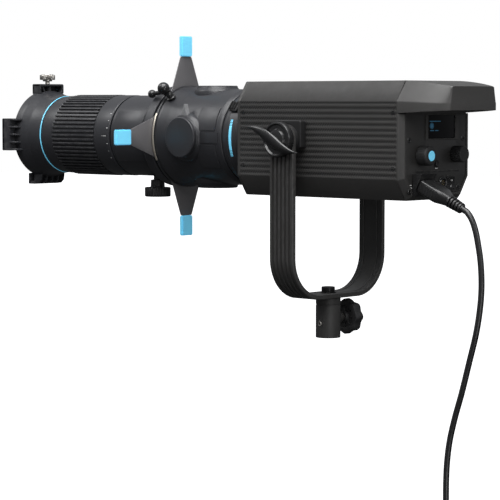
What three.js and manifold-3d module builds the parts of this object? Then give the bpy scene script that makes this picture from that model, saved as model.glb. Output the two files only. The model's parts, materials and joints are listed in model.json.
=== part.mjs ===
// LED spotlight head with a framing projection attachment, on a tilting yoke with a stand socket.
// Millimetres, +Z up. The beam leaves along -X, and the control panel faces +X.
// The origin is the centre of the stand socket's mouth.
import * as THREE from 'three';
import { mergeVertices } from 'three/addons/utils/BufferGeometryUtils.js';
import { ConvexGeometry } from 'three/addons/geometries/ConvexGeometry.js';
import Module from 'manifold-3d';

const wasm = await Module();
wasm.setup();

// Driving dimensions.
const GAP = 0.3; // clearance between pieces that touch
const PIVOT_HEIGHT = 235.6; // tilt axis and optical axis above the socket's mouth

const BODY = { width: 125.8, height: 134.4, chamferY: 15.25, chamferZ: 23.3, wall: 2.4 };
const BODY_FRONT = -88.7;
const BODY_REAR = 161.3;
const PLATE = 4.4; // front plate thickness
const SHELL_END = 153.4;
const BEZEL_INSET = 4.8;
const RIB_BANDS = 11; // raised bands on each side of the body
const HOOD = { rear: 212.5, bottom: 34, rearTop: 60.6, rearHalf: 41 };

const YOKE = { outerHalf: 83.7, strip: 36.4, thick: 5.5, bottom: -187.8, bend: 50 };
const SOCKET = { length: 47.5, radius: 14.75, bore: 8.2, depth: 38 };
const SOCKET_KNOB_HEIGHT = 22.6;

const DRUM_RADIUS = 63;
const SLOT = { front: -237.3, rear: -232.5 };
const GATE_RADIUS = 34;
const BLADE_THICK = 1.2;
const BARREL_RADIUS = 51;
const TUBE = { front: -455.4, rear: -321.3, outer: 46.8, inner: 44.8 };
const GRIP = { front: -430, rear: -351, radius: 52, ribs: 60 };
const BOSS = { x: -181, radius: 26, cap: 24.7 };

const INLET = { x: 168.2, y: -30, z: -50, droop: THREE.MathUtils.degToRad(25) };
const CORD_RADIUS = 3.5;
const CLAMP = { x: -221.5, lean: THREE.MathUtils.degToRad(40) };
const COIL = { x: 161.1, y: -30.8, middle: -222, meanRadius: 38.5, half: 11.5, pitch: 7.2 };

// Materials.
const material = (color, roughness, metalness) =>
  new THREE.MeshStandardMaterial({ color, roughness, metalness });
const charcoal = material(0x3a3937, 0.55, 0.6);
const barrelGrey = material(0x35363a, 0.5, 0.4);
const black = material(0x151515, 0.6, 0.0);
const skyBlue = material(0x68c8fa, 0.45, 0.0);
const nickel = material(0xb9b4ab, 0.3, 1.0);
const aluminium = material(0x9a9c9e, 0.4, 1.0);
const board = material(0x1f4a33, 0.6, 0.0);
const phosphor = material(0xe8c93a, 0.6, 0.0);
const glass = material(0xcfd8dc, 0.05, 0.0);
const screen = material(0x050608, 0.1, 0.0);
const cable = material(0x121212, 0.7, 0.0);

// Groups: the head turns about the pivot, so it is drawn about the pivot and then raised.
const spotlight = new THREE.Group();
const head = new THREE.Group();
head.position.z = PIVOT_HEIGHT;
spotlight.add(head);

function place(parent, name, geometry, finish) {
  const mesh = new THREE.Mesh(geometry, finish);
  mesh.name = name;
  parent.add(mesh);
  return mesh;
}

// Solids.
function welded(geometry) {
  const bare = geometry.clone();
  bare.deleteAttribute('normal');
  bare.deleteAttribute('uv');
  const merged = mergeVertices(bare, 1e-3);
  const corner = merged.index.array;
  const kept = [];
  for (let i = 0; i < corner.length; i += 3) {
    const [a, b, c] = [corner[i], corner[i + 1], corner[i + 2]];
    if (a !== b && b !== c && c !== a) kept.push(a, b, c);
  }
  merged.setIndex(kept);
  return merged;
}

function toSolid(geometry) {
  const merged = welded(geometry);
  return new wasm.Manifold(new wasm.Mesh({
    numProp: 3,
    vertProperties: new Float32Array(merged.attributes.position.array),
    triVerts: new Uint32Array(merged.index.array),
  }));
}

function fromSolid(solid) {
  const mesh = solid.getMesh();
  const geometry = new THREE.BufferGeometry();
  geometry.setAttribute('position', new THREE.BufferAttribute(mesh.vertProperties, 3));
  geometry.setIndex([...mesh.triVerts]);
  return geometry;
}

const joined = (...pieces) => fromSolid(pieces.map(toSolid).reduce((a, b) => a.add(b)));
const cut = (base, ...tools) =>
  fromSolid(tools.map(toSolid).reduce((a, b) => a.subtract(b), toSolid(base)));
const common = (a, b) => fromSolid(toSolid(a).intersect(toSolid(b)));

// Outlines drawn in a plane and extruded along one axis.
const outline = (points) => new THREE.Shape(points.map(([a, b]) => new THREE.Vector2(a, b)));
const disc = (radius) => new THREE.Shape().absarc(0, 0, radius, 0, 2 * Math.PI);
const toX = new THREE.Matrix4().makeBasis(
  new THREE.Vector3(0, 1, 0),
  new THREE.Vector3(0, 0, 1),
  new THREE.Vector3(1, 0, 0),
);

function extruded(shape, depth, curveSegments = 10) {
  return new THREE.ExtrudeGeometry(shape, { depth, bevelEnabled: false, curveSegments });
}

const alongX = (shape, x0, x1) => extruded(shape, x1 - x0).applyMatrix4(toX).translate(x0, 0, 0);
const alongY = (shape, y0, y1) => extruded(shape, y1 - y0).rotateX(Math.PI / 2).translate(0, y1, 0);
const alongZ = (shape, z0, z1) => extruded(shape, z1 - z0).translate(0, 0, z0);

function box(x0, x1, y0, y1, z0, z1) {
  const block = new THREE.BoxGeometry(x1 - x0, y1 - y0, z1 - z0);
  return block.translate((x0 + x1) / 2, (y0 + y1) / 2, (z0 + z1) / 2);
}

const rod = (radius, length, segments) =>
  new THREE.CylinderGeometry(radius, radius, length, segments);
const rodX = (radius, x0, x1, segments = 24) =>
  rod(radius, x1 - x0, segments).rotateZ(-Math.PI / 2).translate((x0 + x1) / 2, 0, 0);
const rodY = (radius, y0, y1, segments = 24) =>
  rod(radius, y1 - y0, segments).translate(0, (y0 + y1) / 2, 0);
const rodZ = (radius, z0, z1, segments = 24) =>
  rod(radius, z1 - z0, segments).rotateX(Math.PI / 2).translate(0, 0, (z0 + z1) / 2);

// A turned piece about X from [x, radius] points; it closes on itself, or on the axis.
function turned(profile, segments = 36) {
  const points = profile.map(([x, r]) => new THREE.Vector2(r, x));
  if (THREE.ShapeUtils.area(points) < 0) points.reverse();
  const onAxis = points.filter((point) => point.x === 0).length > 0;
  if (onAxis) {
    while (points[0].x !== 0 || points[points.length - 1].x !== 0) points.push(points.shift());
  } else {
    points.push(points[0].clone());
  }
  return welded(new THREE.LatheGeometry(points, segments).rotateZ(-Math.PI / 2));
}

// A ring between two radii, from x0 to x1.
const ring = (x0, x1, inner, outer, segments = 36) =>
  turned([[x0, inner], [x0, outer], [x1, outer], [x1, inner]], segments);

// A round outline with shallow flutes or lobes.
function fluted(radius, depth, count, steps = 4) {
  const total = count * steps;
  const points = [];
  for (let i = 0; i < total; i += 1) {
    const angle = (2 * Math.PI * i) / total;
    const r = radius - (depth * (1 - Math.cos(count * angle))) / 2;
    points.push([r * Math.cos(angle), r * Math.sin(angle)]);
  }
  return outline(points);
}

// The body's section across the beam: a box with its four edges cut off.
function bodyPoints(inset = 0) {
  const w = BODY.width / 2 - inset;
  const h = BODY.height / 2 - inset;
  const y = BODY.width / 2 - BODY.chamferY - inset * 0.7;
  const z = BODY.height / 2 - BODY.chamferZ - inset * 0.5;
  return [[w, -z], [w, z], [y, h], [-y, h], [-w, z], [-w, -z], [-y, -h], [y, -h]];
}

// The same section, with the raised bands on its sides.
function bandedPoints() {
  const half = BODY.width / 2;
  const base = BODY.height / 2 - BODY.chamferZ;
  const pitch = (2 * base) / RIB_BANDS;
  const depth = 0.8;
  const side = [];
  for (let band = 0; band < RIB_BANDS; band += 1) {
    const z = -base + band * pitch;
    side.push([half, z], [half, z + 0.5 * pitch]);
    side.push([half - depth, z + 0.6 * pitch], [half - depth, z + 0.9 * pitch]);
  }
  side.push([half, base]);
  const [, , topRight, topLeft, , , bottomLeft, bottomRight] = bodyPoints();
  const left = side.map(([y, z]) => [-y, z]).reverse();
  return [...side, topRight, topLeft, ...left, bottomLeft, bottomRight];
}

// ---- Stand mount: socket, its lock knob, and the yoke ----

function makeSocket() {
  const { length, radius, bore, depth } = SOCKET;
  const barrel = rodZ(radius, 0, length, 32);
  const boss = rodY(7.5, 10, 20).translate(0, 0, SOCKET_KNOB_HEIGHT);
  const side = rodY(3.4, 0, 30, 16).translate(0, 0, SOCKET_KNOB_HEIGHT);
  const grub = rodY(2.6, -30, 0, 12).translate(0, 0, 17);
  const bolt = rodZ(4.3, depth - 1, length + 1, 16);
  const hollow = rodZ(bore, -1, depth, 24);
  place(spotlight, 'stand_receiver', cut(joined(barrel, boss), hollow, side, grub, bolt), charcoal);
  const screw = rodY(2.3, -radius, -bore - 1, 12).translate(0, 0, 17);
  place(spotlight, 'receiver_grub_screw', screw, nickel);
}

function makeSocketKnob() {
  const grip = alongY(fluted(21.5, 4.4, 8, 6), 28, 42);
  const dish = rodY(12.5, 27, 30.5, 24);
  const hub = rodY(7, 28, 34, 20);
  const stud = rodY(3, 9, 32, 16);
  const knob = joined(cut(grip, dish), hub, stud).translate(0, 0, SOCKET_KNOB_HEIGHT);
  place(spotlight, 'receiver_lock_knob', knob, black);
}

function yokeOutline(offset) {
  const { outerHalf, bottom, bend } = YOKE;
  const half = outerHalf - offset;
  const base = bottom + offset;
  const radius = bend - offset;
  const shape = new THREE.Shape();
  shape.moveTo(-half, 20);
  shape.lineTo(-half, base + radius);
  shape.absarc(-half + radius, base + radius, radius, Math.PI, 1.5 * Math.PI);
  shape.absarc(half - radius, base + radius, radius, 1.5 * Math.PI, 2 * Math.PI);
  shape.lineTo(half, 20);
  return shape;
}

function makeYoke() {
  const reach = YOKE.strip / 2;
  const outer = alongX(yokeOutline(0), -reach, reach);
  const inner = alongX(yokeOutline(YOKE.thick), -reach - 1, reach + 1).translate(0, 0, 0.001);
  const legs = new THREE.Shape();
  legs.moveTo(-reach, -200);
  legs.lineTo(reach, -200);
  legs.lineTo(reach, 0);
  legs.absarc(0, 0, reach, 0, Math.PI);
  const tips = alongY(legs, -100, 100);
  const pivotHoles = rodY(6.3, -100, 100, 24);
  const baseHole = rodZ(4.6, -200, -170, 16);
  const trim = box(-30, 30, -90, 90, 19, 30);
  const strap = cut(common(cut(outer, inner, trim), tips), pivotHoles, baseHole);
  place(spotlight, 'yoke', strap.translate(0, 0, PIVOT_HEIGHT), charcoal);
  const seat = PIVOT_HEIGHT + YOKE.bottom + YOKE.thick;
  const boltHead = cut(rodZ(8, seat + GAP, seat + 7, 20), rodZ(3.2, seat + 3, seat + 8, 6));
  const shank = rodZ(3.9, SOCKET.depth, seat + 2, 16);
  place(spotlight, 'yoke_bolt', joined(boltHead, shank), black);
}

// ---- Pivot: blocks on the body, the near lock lever and the far bolt ----

function makePivots() {
  const inner = BODY.width / 2 + GAP;
  const outer = YOKE.outerHalf - YOKE.thick - GAP;
  const block = (sign) => {
    const shape = new THREE.Shape();
    shape.moveTo(20, -16);
    shape.absarc(14, 16, 6, 0, Math.PI / 2);
    shape.absarc(-14, 16, 6, Math.PI / 2, Math.PI);
    shape.absarc(-14, -16, 6, Math.PI, 1.5 * Math.PI);
    shape.absarc(14, -16, 6, 1.5 * Math.PI, 2 * Math.PI);
    const slab = alongY(shape, inner, outer);
    const bored = cut(slab, rodY(4.6, inner + 2, outer + 1, 20));
    return sign > 0 ? bored : bored.rotateZ(Math.PI);
  };
  place(head, 'pivot_block_far', block(1), black);
  place(head, 'pivot_block_near', block(-1), black);
  const face = YOKE.outerHalf + GAP;
  const bolt = joined(rodY(12, face, face + 6, 28), rodY(4.1, outer - 9, face + 1, 16));
  place(head, 'far_pivot_bolt', cut(bolt, rodY(4, face + 3, face + 8, 6)), black);
}

function makeTiltLever() {
  const face = -YOKE.outerHalf - GAP;
  const drum = alongY(disc(20.6), face - 9, face);
  const wing = new THREE.Shape();
  wing.moveTo(-50, 16);
  wing.bezierCurveTo(-34, 17, -24, 16, -14, 15);
  wing.lineTo(12, 12);
  wing.bezierCurveTo(20, -2, 26, -9, 34, -13);
  wing.lineTo(33, -17);
  wing.bezierCurveTo(10, -20, -8, -14, -20, -2);
  wing.bezierCurveTo(-28, 6, -36, 11, -50, 13);
  const lever = alongY(wing, face - 15, face - 4);
  const stud = rodY(4.1, face - 2, face + YOKE.thick + 11, 16);
  place(spotlight, 'tilt_lock_lever', joined(drum, lever, stud).translate(0, 0, PIVOT_HEIGHT), black);
}

// ---- Lamp housing ----

function makeHousing() {
  const shell = outline(bandedPoints());
  shell.holes.push(new THREE.Path(outline(bodyPoints(BODY.wall)).getPoints()));
  place(head, 'head_shell', alongX(shell, BODY_FRONT + PLATE + GAP, SHELL_END), charcoal);

  const plate = alongX(outline(bodyPoints()), BODY_FRONT, BODY_FRONT + PLATE);
  const opening = rodX(48, BODY_FRONT - 1, BODY_FRONT + PLATE + 1, 40);
  place(head, 'front_plate', cut(plate, opening), charcoal);

  const corner = (x, inset) => bodyPoints(inset).map(([y, z]) => new THREE.Vector3(x, y, z));
  const start = SHELL_END + GAP;
  const cap = new ConvexGeometry([...corner(start, 0), ...corner(BODY_REAR, BEZEL_INSET)]);
  const above = box(start - 1, BODY_REAR + 1, -80, 80, HOOD.bottom - GAP, 80);
  const pocket = alongX(outline(bodyPoints(8)), BODY_REAR - 4.3, BODY_REAR + 1);
  const clearance = alongX(outline(bodyPoints(12)), start - 1, BODY_REAR);
  place(head, 'rear_bezel', cut(cap, above, pocket, clearance), charcoal);
}

function makeHood() {
  const start = SHELL_END + GAP;
  const [side, low] = [BODY.width / 2, HOOD.bottom];
  const crease = BODY.height / 2 - BODY.chamferZ;
  const top = BODY.height / 2;
  const lean = BODY.chamferY;
  const sections = [
    [start, side, top, crease, lean],
    [start + 22, side - 1.5, top - 1.2, crease - 0.4, lean - 1],
    [start + 41, side - 7, top - 3.4, crease - 1, lean - 4],
    [start + 52, side - 14, top - 5.2, crease - 1.5, lean - 8],
    [HOOD.rear, HOOD.rearHalf, HOOD.rearTop, crease - 2, 3],
  ];
  const points = (inset) => sections.flatMap(([x, half, peak, bend, slope], index) => {
    const at = index === sections.length - 1 ? x - inset : x;
    const w = half - inset;
    return [-1, 1].flatMap((sign) => [
      new THREE.Vector3(at, sign * w, low - (inset ? 1 : 0)),
      new THREE.Vector3(at, sign * w, bend),
      new THREE.Vector3(at, sign * (w - slope), peak - inset),
    ]);
  });
  const shell = new ConvexGeometry(points(0));
  const inside = common(new ConvexGeometry(points(3)), box(start + 8, 300, -80, 80, 0, 80));
  place(head, 'hood', cut(shell, inside), charcoal);
}

// ---- Control panel ----

const CONTROL_FACE = BODY_REAR - 0.5;
const ENCODER_STEM = 14;
const DIMMER = { y: -27.5, z: -16.8, radius: 11.3, length: 14.5 };
const SELECTOR = { y: 33.3, z: -16, radius: 9.5, length: 14 };
const MENU = { y: 0, z: -26.5, radius: 3.4 };
const SWITCH = { y: 25.9, z: -48.8, width: 12, height: 12.6 };
const PORT = { y: 11.8, z: -48.2, radius: 5.7 };
const WINDOW = { y0: -16, y1: 33.7, z0: 2, z1: 28.6 };

function makePanel() {
  const plate = alongX(outline(bodyPoints(8 + GAP)), CONTROL_FACE - 3, CONTROL_FACE);
  const [front, back] = [CONTROL_FACE + 1, CONTROL_FACE - 4];
  const top = box(back, front, -80, 80, HOOD.bottom - 2 * GAP, 80);
  const hole = (at, radius, sides = 20) => rodX(radius, back, front, sides).translate(0, at.y, at.z);
  const window = box(CONTROL_FACE - 1.5, front, WINDOW.y0, WINDOW.y1, WINDOW.z0, WINDOW.z1);
  const slot = box(back, front, SWITCH.y - SWITCH.width / 2, SWITCH.y + SWITCH.width / 2,
    SWITCH.z - SWITCH.height / 2, SWITCH.z + SWITCH.height / 2);
  const inletHole = box(back, front, INLET.y - 12, INLET.y + 12, INLET.z - 9, INLET.z + 9);
  const panel = cut(plate, top, window, slot, inletHole, hole(DIMMER, 3.6), hole(SELECTOR, 3.6),
    hole(MENU, MENU.radius + GAP), hole(PORT, PORT.radius - 1));
  place(head, 'rear_panel', panel, black);
  const pane = box(CONTROL_FACE - 1.2, CONTROL_FACE + 0.2, WINDOW.y0 + GAP, WINDOW.y1 - GAP,
    WINDOW.z0 + GAP, WINDOW.z1 - GAP);
  place(head, 'display_window', pane, screen);
}

function makeControls() {
  const face = CONTROL_FACE + 0.4;
  const inletFace = BODY_REAR + GAP;
  const stem = rodX(3, face - ENCODER_STEM, face + 1, 16);
  const dimmer = rodX(DIMMER.radius, face, face + DIMMER.length, 36);
  place(head, 'dimmer_knob', joined(dimmer, stem).translate(0, DIMMER.y, DIMMER.z), black);
  const selector = alongX(fluted(SELECTOR.radius, 0.7, 20, 3), face, face + SELECTOR.length);
  place(head, 'selector_knob', joined(selector, stem).translate(0, SELECTOR.y, SELECTOR.z), black);
  const button = rodX(MENU.radius, face - 6, face + 1.8, 20).translate(0, MENU.y, MENU.z);
  place(head, 'menu_button', button, black);
  const [w, h] = [SWITCH.width / 2 - GAP, SWITCH.height / 2 - GAP];
  const rocker = outline([[-8, -h], [0.8, -h], [0.6, 0], [2.6, h], [-8, h]]);
  place(head, 'power_rocker', alongY(rocker, -w, w).translate(face, SWITCH.y, SWITCH.z), black);
  const socket = ring(face, face + 1.6, 3.2, PORT.radius, 24);
  place(head, 'control_socket', socket.translate(0, PORT.y, PORT.z), black);
  const slant = Math.tan(INLET.droop);
  const [low, high] = [INLET.z - 12.6, INLET.z + 13];
  const wedge = outline([
    [inletFace, low], [INLET.x - 12.6 * slant, low], [INLET.x + 13 * slant, high], [inletFace, high],
  ]);
  place(head, 'mains_inlet', alongY(wedge, INLET.y - 14, INLET.y + 14), black);
}

// ---- Inside the housing ----

function makeLampEngine() {
  const fins = 11;
  const [half, root, tip] = [42, -50, 22];
  const pitch = (2 * half) / fins;
  const comb = [[root - 8, -half], [tip, -half]];
  for (let fin = 0; fin < fins; fin += 1) {
    const y = -half + fin * pitch;
    comb.push([tip, y + 2]);
    if (fin < fins - 1) comb.push([root, y + 2], [root, y + pitch], [tip, y + pitch]);
  }
  comb.push([root, -half + (fins - 1) * pitch + 2], [root, half], [root - 8, half]);
  place(head, 'heat_sink', alongZ(outline(comb), -44, 44), aluminium);
  place(head, 'led_board', box(-60.6, -58.3, -22, 22, -22, 22), board);
  const dome = turned([[-60.9, 0], [-60.9, 15], [-63, 14.4], [-64.6, 9], [-65.2, 0]], 28);
  place(head, 'led_emitter', dome, phosphor);
  place(head, 'fan_frame', cut(box(30, 55, -46, 46, -46, 46), rodX(43, 29, 56, 36)), black);
  const hub = rodX(17, 33, 52, 24);
  const blades = [];
  for (let i = 0; i < 7; i += 1) {
    const blade = box(-1, 1, -9, 9, 15, 41).rotateZ(0.7).translate(42.5, 0, 0);
    blades.push(blade.rotateX((2 * Math.PI * i) / 7));
  }
  place(head, 'fan_rotor', joined(hub, ...blades), black);
  const driver = joined(
    box(62, 136, -44, 44, -52, -50),
    box(68, 96, -30, 4, -50.5, -22),
    box(104, 128, 8, 34, -50.5, -26),
    box(102, 130, -34, -12, -50.5, -34),
  );
  place(head, 'power_board', driver, board);
  place(head, 'control_board', box(141.5, 143.2, -44, 44, -32, 30), board);
}

function makeMountRing() {
  const profile = [
    [-121.7, 50.3], [-121.7, 55.6], [-115, 57.6], [-110, 57.6], [-109, 58.6],
    [-97, 58.6], [-96, 57.2], [-89, 57.2], [-89, 50.3],
  ];
  place(head, 'mount_ring', turned(profile), barrelGrey);
  const latch = joined(box(-114, -100, -7, 7, 59, 62.5), box(-112, -107, -6, 6, 62, 66));
  place(head, 'mount_latch', latch.rotateX(THREE.MathUtils.degToRad(52)), black);
}

// ---- Projection attachment ----

function makeProjectorHousing() {
  const profile = [
    [SLOT.rear, GATE_RADIUS], [SLOT.rear, 62], [-226, 62.4], [-214, 60.2], [-202, 58.8],
    [-128, 58.5], [-122, 56.2], [-122, 52.5], [-226, 52.5], [-229, GATE_RADIUS],
  ];
  const stub = (angle) => rodZ(BOSS.radius, 54, 63, 24).translate(BOSS.x, 0, 0).rotateX(angle);
  const quarter = Math.PI / 2;
  const bosses = [0, 1, 2, 3].map((turn) => stub(turn * quarter));
  place(head, 'projector_housing', joined(turned(profile), ...bosses), barrelGrey);
  place(head, 'gate_ring', ring(-232.3, -229.3, 62.7, 63.8), nickel);
  const cap = () => rodZ(BOSS.cap, 63 + GAP, 68, 28).translate(BOSS.x, 0, 0);
  place(head, 'side_cap_near', cap().rotateX(quarter), barrelGrey);
  place(head, 'side_cap_far', cap().rotateX(-quarter), barrelGrey);
  const condenser = turned([[-142, 0], [-140, 30], [-136, 52.1], [-131, 52.1], [-131, 0]], 24);
  place(head, 'condenser_lens', condenser, glass);
}

function makeShutters() {
  const bladePoints = [
    [-24, 35], [24, 35], [29, 41], [29, 52], [23.5, 61], [9.35, 99.3],
    [6, 99.3], [6, 113], [-6, 113], [-6, 99.3], [-9.35, 99.3], [-23.5, 61], [-29, 52], [-29, 41],
  ];
  const quarter = Math.PI / 2;
  const shutters = [
    { side: 'top', angle: 0, x: -236.9 },
    { side: 'bottom', angle: 2 * quarter, x: -236.9 },
    { side: 'near', angle: quarter, x: -234.5 },
    { side: 'far', angle: -quarter, x: -234.5 },
  ];
  for (const { side, angle, x } of shutters) {
    const blade = alongX(outline(bladePoints), x, x + BLADE_THICK).rotateX(angle);
    place(head, `shutter_blade_${side}`, blade, barrelGrey);
    const middle = x + BLADE_THICK / 2;
    const tip = box(middle - 3, middle + 3, -9.35, 9.35, 99.6, 124.7);
    const slit = box(x - GAP, x + BLADE_THICK + GAP, -6.3, 6.3, 99, 113.3);
    place(head, `shutter_grip_${side}`, cut(tip, slit).rotateX(angle), skyBlue);
  }
}

function makeLensBarrel() {
  const drumProfile = [
    [-257, BARREL_RADIUS + 1], [-254, 60], [-250, DRUM_RADIUS], [SLOT.front, DRUM_RADIUS],
    [SLOT.front, GATE_RADIUS], [-241, GATE_RADIUS], [-241, 45.2], [-257, 45.2],
  ];
  place(head, 'shutter_drum', turned(drumProfile), barrelGrey);
  const collar = ring(-321, -257.3, 45.2, BARREL_RADIUS, 48);
  const stem = rodZ(5, -63, -48.5, 20).translate(-287, 0, 0);
  place(head, 'lens_collar', cut(collar, rodZ(5.4, -70, -30, 20).translate(-287, 0, 0)), barrelGrey);
  const knob = alongZ(fluted(16.5, 1.2, 12, 3), -77.3, -63.3).translate(-287, 0, 0);
  place(head, 'lens_lock_knob', joined(knob, stem.translate(0, 0, -0.6)), black);

  const lever = joined(
    rodZ(6, DRUM_RADIUS + 0.3, 72, 20).translate(CLAMP.x, 0, 0),
    box(CLAMP.x - 30, CLAMP.x, -3, 3, 67, 71.5),
    new THREE.SphereGeometry(5.2, 10, 6).translate(CLAMP.x - 30, 0, 69),
    new THREE.SphereGeometry(7.5, 12, 8).translate(CLAMP.x - 4, 0, 78),
  );
  place(head, 'clamp_lever', lever.rotateX(CLAMP.lean), black);

  place(head, 'lens_tube', ring(TUBE.front, TUBE.rear, TUBE.inner, TUBE.outer, 28), black);
  const carriage = ring(-400, -362, 39, TUBE.inner - 0.4, 24);
  place(head, 'lens_carriage', carriage, black);
  const zoomLens = turned([[-392, 0], [-389, 22], [-384, 38.6], [-379, 38.6], [-377, 22], [-376, 0]], 20);
  place(head, 'zoom_lens', zoomLens, glass);
}

function makeZoomRing() {
  const inner = TUBE.outer + GAP;
  const ribs = alongX(fluted(GRIP.radius, 1.4, GRIP.ribs, 3), GRIP.front, GRIP.rear);
  const bands = turned([
    [-452.3, inner], [-452.3, 49.8], [-451, 50.4], [-432, 51], [-430, 50.6], [GRIP.rear, 50.6],
    [GRIP.rear, 51.5], [-325, 51.5], [-323.4, 50.8], [-323.4, inner],
  ]);
  const bore = rodX(49, -460, -320, 36);
  place(head, 'zoom_ring', joined(bands, cut(ribs, bore)), barrelGrey);
  place(head, 'accent_ring', ring(-455.4, -452.6, inner, 50.5), skyBlue);
}

function makeGelHolder() {
  const profile = [
    [-500, 50], [-500, 57], [-498.5, 57.7], [-490, 57.7], [-475, 53], [-462, 50.8], [-455.7, 50.2],
    [-455.7, 45.4], [-488, 45.4],
  ];
  const flange = turned(profile);
  const ribs = [-18, -6, 6, 18].map((y) => {
    const gusset = outline([[-500, 52], [-500, 66], [-488, 64.5], [-477, 57], [-477, 50]]);
    return alongY(gusset, y - 1.1, y + 1.1);
  });
  const slot = box(-507.4, -500, -30, 30, 40, 62);
  const channel = () => joined(cut(box(-512, -498.5, -21, 21, 50, 66.5), slot), ...ribs);
  const topBlock = joined(box(-503, -487, -21, 21, 52, 66.5), ...ribs);
  const quarter = Math.PI / 2;
  const mouth = rodX(50, -520, -500, 36);
  const ears = [1, 2, 3].map((turn) => channel().rotateX(turn * quarter));
  const screwHole = rodZ(3.4, 54, 70, 16).translate(-496, 0, 0);
  place(head, 'gel_holder', cut(joined(flange, topBlock, ...ears), mouth, screwHole), barrelGrey);
  const screw = joined(
    alongZ(fluted(10.2, 0.8, 20, 3), 70, 79.4),
    rodZ(3, 58, 70.5, 16),
    rodZ(4.6, 67, 70.2, 20),
  ).translate(-496, 0, 0);
  place(head, 'gel_thumbscrew', screw, nickel);
  const front = turned([[-484, 0], [-480, 30], [-474, 45.1], [-466, 45.1], [-466, 0]], 28);
  place(head, 'objective_lens', front, glass);
}

// ---- Mains lead ----

// The stretch that hangs free, from the strain relief down to the coil, about the socket's mouth.
const CORD_ROUTE = [
  [221.4, -30, 160.8], [227.2, -30, 157.7], [233.6, -30, 150], [238.8, -30, 138], [242.8, -30, 122],
  [245.8, -30, 106], [247.8, -30.5, 88], [248.2, -31, 70], [246.8, -32, 49], [242.8, -33, 24],
  [234.5, -34, -8], [225.5, -35, -42], [216.5, -36, -72], [210.5, -37, -98], [207.6, -37.6, -122],
  [206.8, -38, -145], [206.8, -38, -170], [206.8, -38, -194.6],
].map(([x, y, z]) => new THREE.Vector3(x, y, z));

function makeLead() {
  const plug = joined(
    box(0.4, 33, -13.2, 13.2, -8.6, 8.6),
    box(30, 40, -7, 7, -6, 6),
    turned([[38, 0], [38, 6.6], [58, 4.6], [58, 0]], 20),
  );
  plug.rotateY(INLET.droop).translate(INLET.x, INLET.y, INLET.z);
  place(head, 'mains_connector', plug, cable);
  const route = new THREE.CatmullRomCurve3(CORD_ROUTE, false, 'centripetal');
  const section = new THREE.Shape();
  const sides = 10;
  for (let i = 0; i < sides; i += 1) {
    const angle = (2 * Math.PI * i) / sides;
    const point = [CORD_RADIUS * Math.cos(angle), CORD_RADIUS * Math.sin(angle)];
    if (i === 0) section.moveTo(...point);
    else section.lineTo(...point);
  }
  section.closePath();
  const lead = new THREE.ExtrudeGeometry(section, { steps: 26, extrudePath: route, bevelEnabled: false });
  place(spotlight, 'mains_cord', lead, cable);

  const { meanRadius, half, pitch, x, y, middle } = COIL;
  const coil = ring(-half, half, meanRadius - half, meanRadius + half, 32);
  place(spotlight, 'cord_coil', coil.rotateZ(Math.PI / 2).translate(x, y, middle), cable);
  const wallPlug = joined(
    rodX(12.5, 27, 59, 24).scale(1, 0.8, 1),
    turned([[0, 0], [0, 4.6], [28, 7.5], [28, 0]], 18),
    box(58, 78, -5.6, -4.2, -3.2, 3.2),
    box(58, 78, 4.2, 5.6, -3.2, 3.2),
  );
  wallPlug.rotateY(Math.PI / 2).translate(x + meanRadius, y + 2 * pitch, middle - 37.4);
  place(spotlight, 'mains_plug', wallPlug, cable);
}

makeSocket();
makeSocketKnob();
makeYoke();
makePivots();
makeTiltLever();
makeHousing();
makeHood();
makePanel();
makeControls();
makeLampEngine();
makeMountRing();
makeProjectorHousing();
makeShutters();
makeLensBarrel();
makeZoomRing();
makeGelHolder();
makeLead();

export default spotlight;
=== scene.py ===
"""Looks for an LED spotlight head with a projection attachment, laid out as an add-on.

Sizes in the builders are in millimetres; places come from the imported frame.
"""

import json
import math

import bmesh
import bpy
from bpy.props import FloatProperty, FloatVectorProperty, IntProperty, PointerProperty
from mathutils import Matrix, Vector


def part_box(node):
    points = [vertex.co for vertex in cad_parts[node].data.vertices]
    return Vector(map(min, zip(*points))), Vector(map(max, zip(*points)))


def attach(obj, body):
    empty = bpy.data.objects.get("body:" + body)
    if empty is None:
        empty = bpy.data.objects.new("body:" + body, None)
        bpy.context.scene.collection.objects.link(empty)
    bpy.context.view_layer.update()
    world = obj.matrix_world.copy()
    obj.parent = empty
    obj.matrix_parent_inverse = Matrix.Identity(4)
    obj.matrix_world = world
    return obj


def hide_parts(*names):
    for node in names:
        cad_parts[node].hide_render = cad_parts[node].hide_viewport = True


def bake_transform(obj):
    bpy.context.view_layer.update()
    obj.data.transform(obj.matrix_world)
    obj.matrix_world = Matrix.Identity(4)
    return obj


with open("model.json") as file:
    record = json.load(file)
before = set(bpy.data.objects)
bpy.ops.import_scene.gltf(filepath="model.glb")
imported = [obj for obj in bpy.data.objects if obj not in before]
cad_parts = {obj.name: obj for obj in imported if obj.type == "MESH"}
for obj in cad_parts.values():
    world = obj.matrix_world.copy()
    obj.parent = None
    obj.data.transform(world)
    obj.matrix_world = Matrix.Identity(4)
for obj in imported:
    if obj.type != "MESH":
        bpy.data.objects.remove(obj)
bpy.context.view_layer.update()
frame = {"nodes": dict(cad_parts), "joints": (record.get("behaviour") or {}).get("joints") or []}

bl_info = {
    "name": "Spotlight Head Builder",
    "version": (1, 0, 0),
    "blender": (4, 5, 0),
    "location": "View3D > Sidebar > Spotlight",
    "description": "Builds the looks of an LED spotlight head around its packed frame",
    "category": "Add Mesh",
}

MM = 0.001
QUARTER = math.pi / 2


class Box:
    """A node's box at rest, in millimetres."""

    def __init__(self, node):
        low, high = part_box(node)
        self.x0, self.y0, self.z0 = (value / MM for value in low)
        self.x1, self.y1, self.z1 = (value / MM for value in high)
        self.x, self.y, self.z = (
            (self.x0 + self.x1) / 2,
            (self.y0 + self.y1) / 2,
            (self.z0 + self.z1) / 2,
        )
        self.radius = (self.z1 - self.z0) / 2


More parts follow.
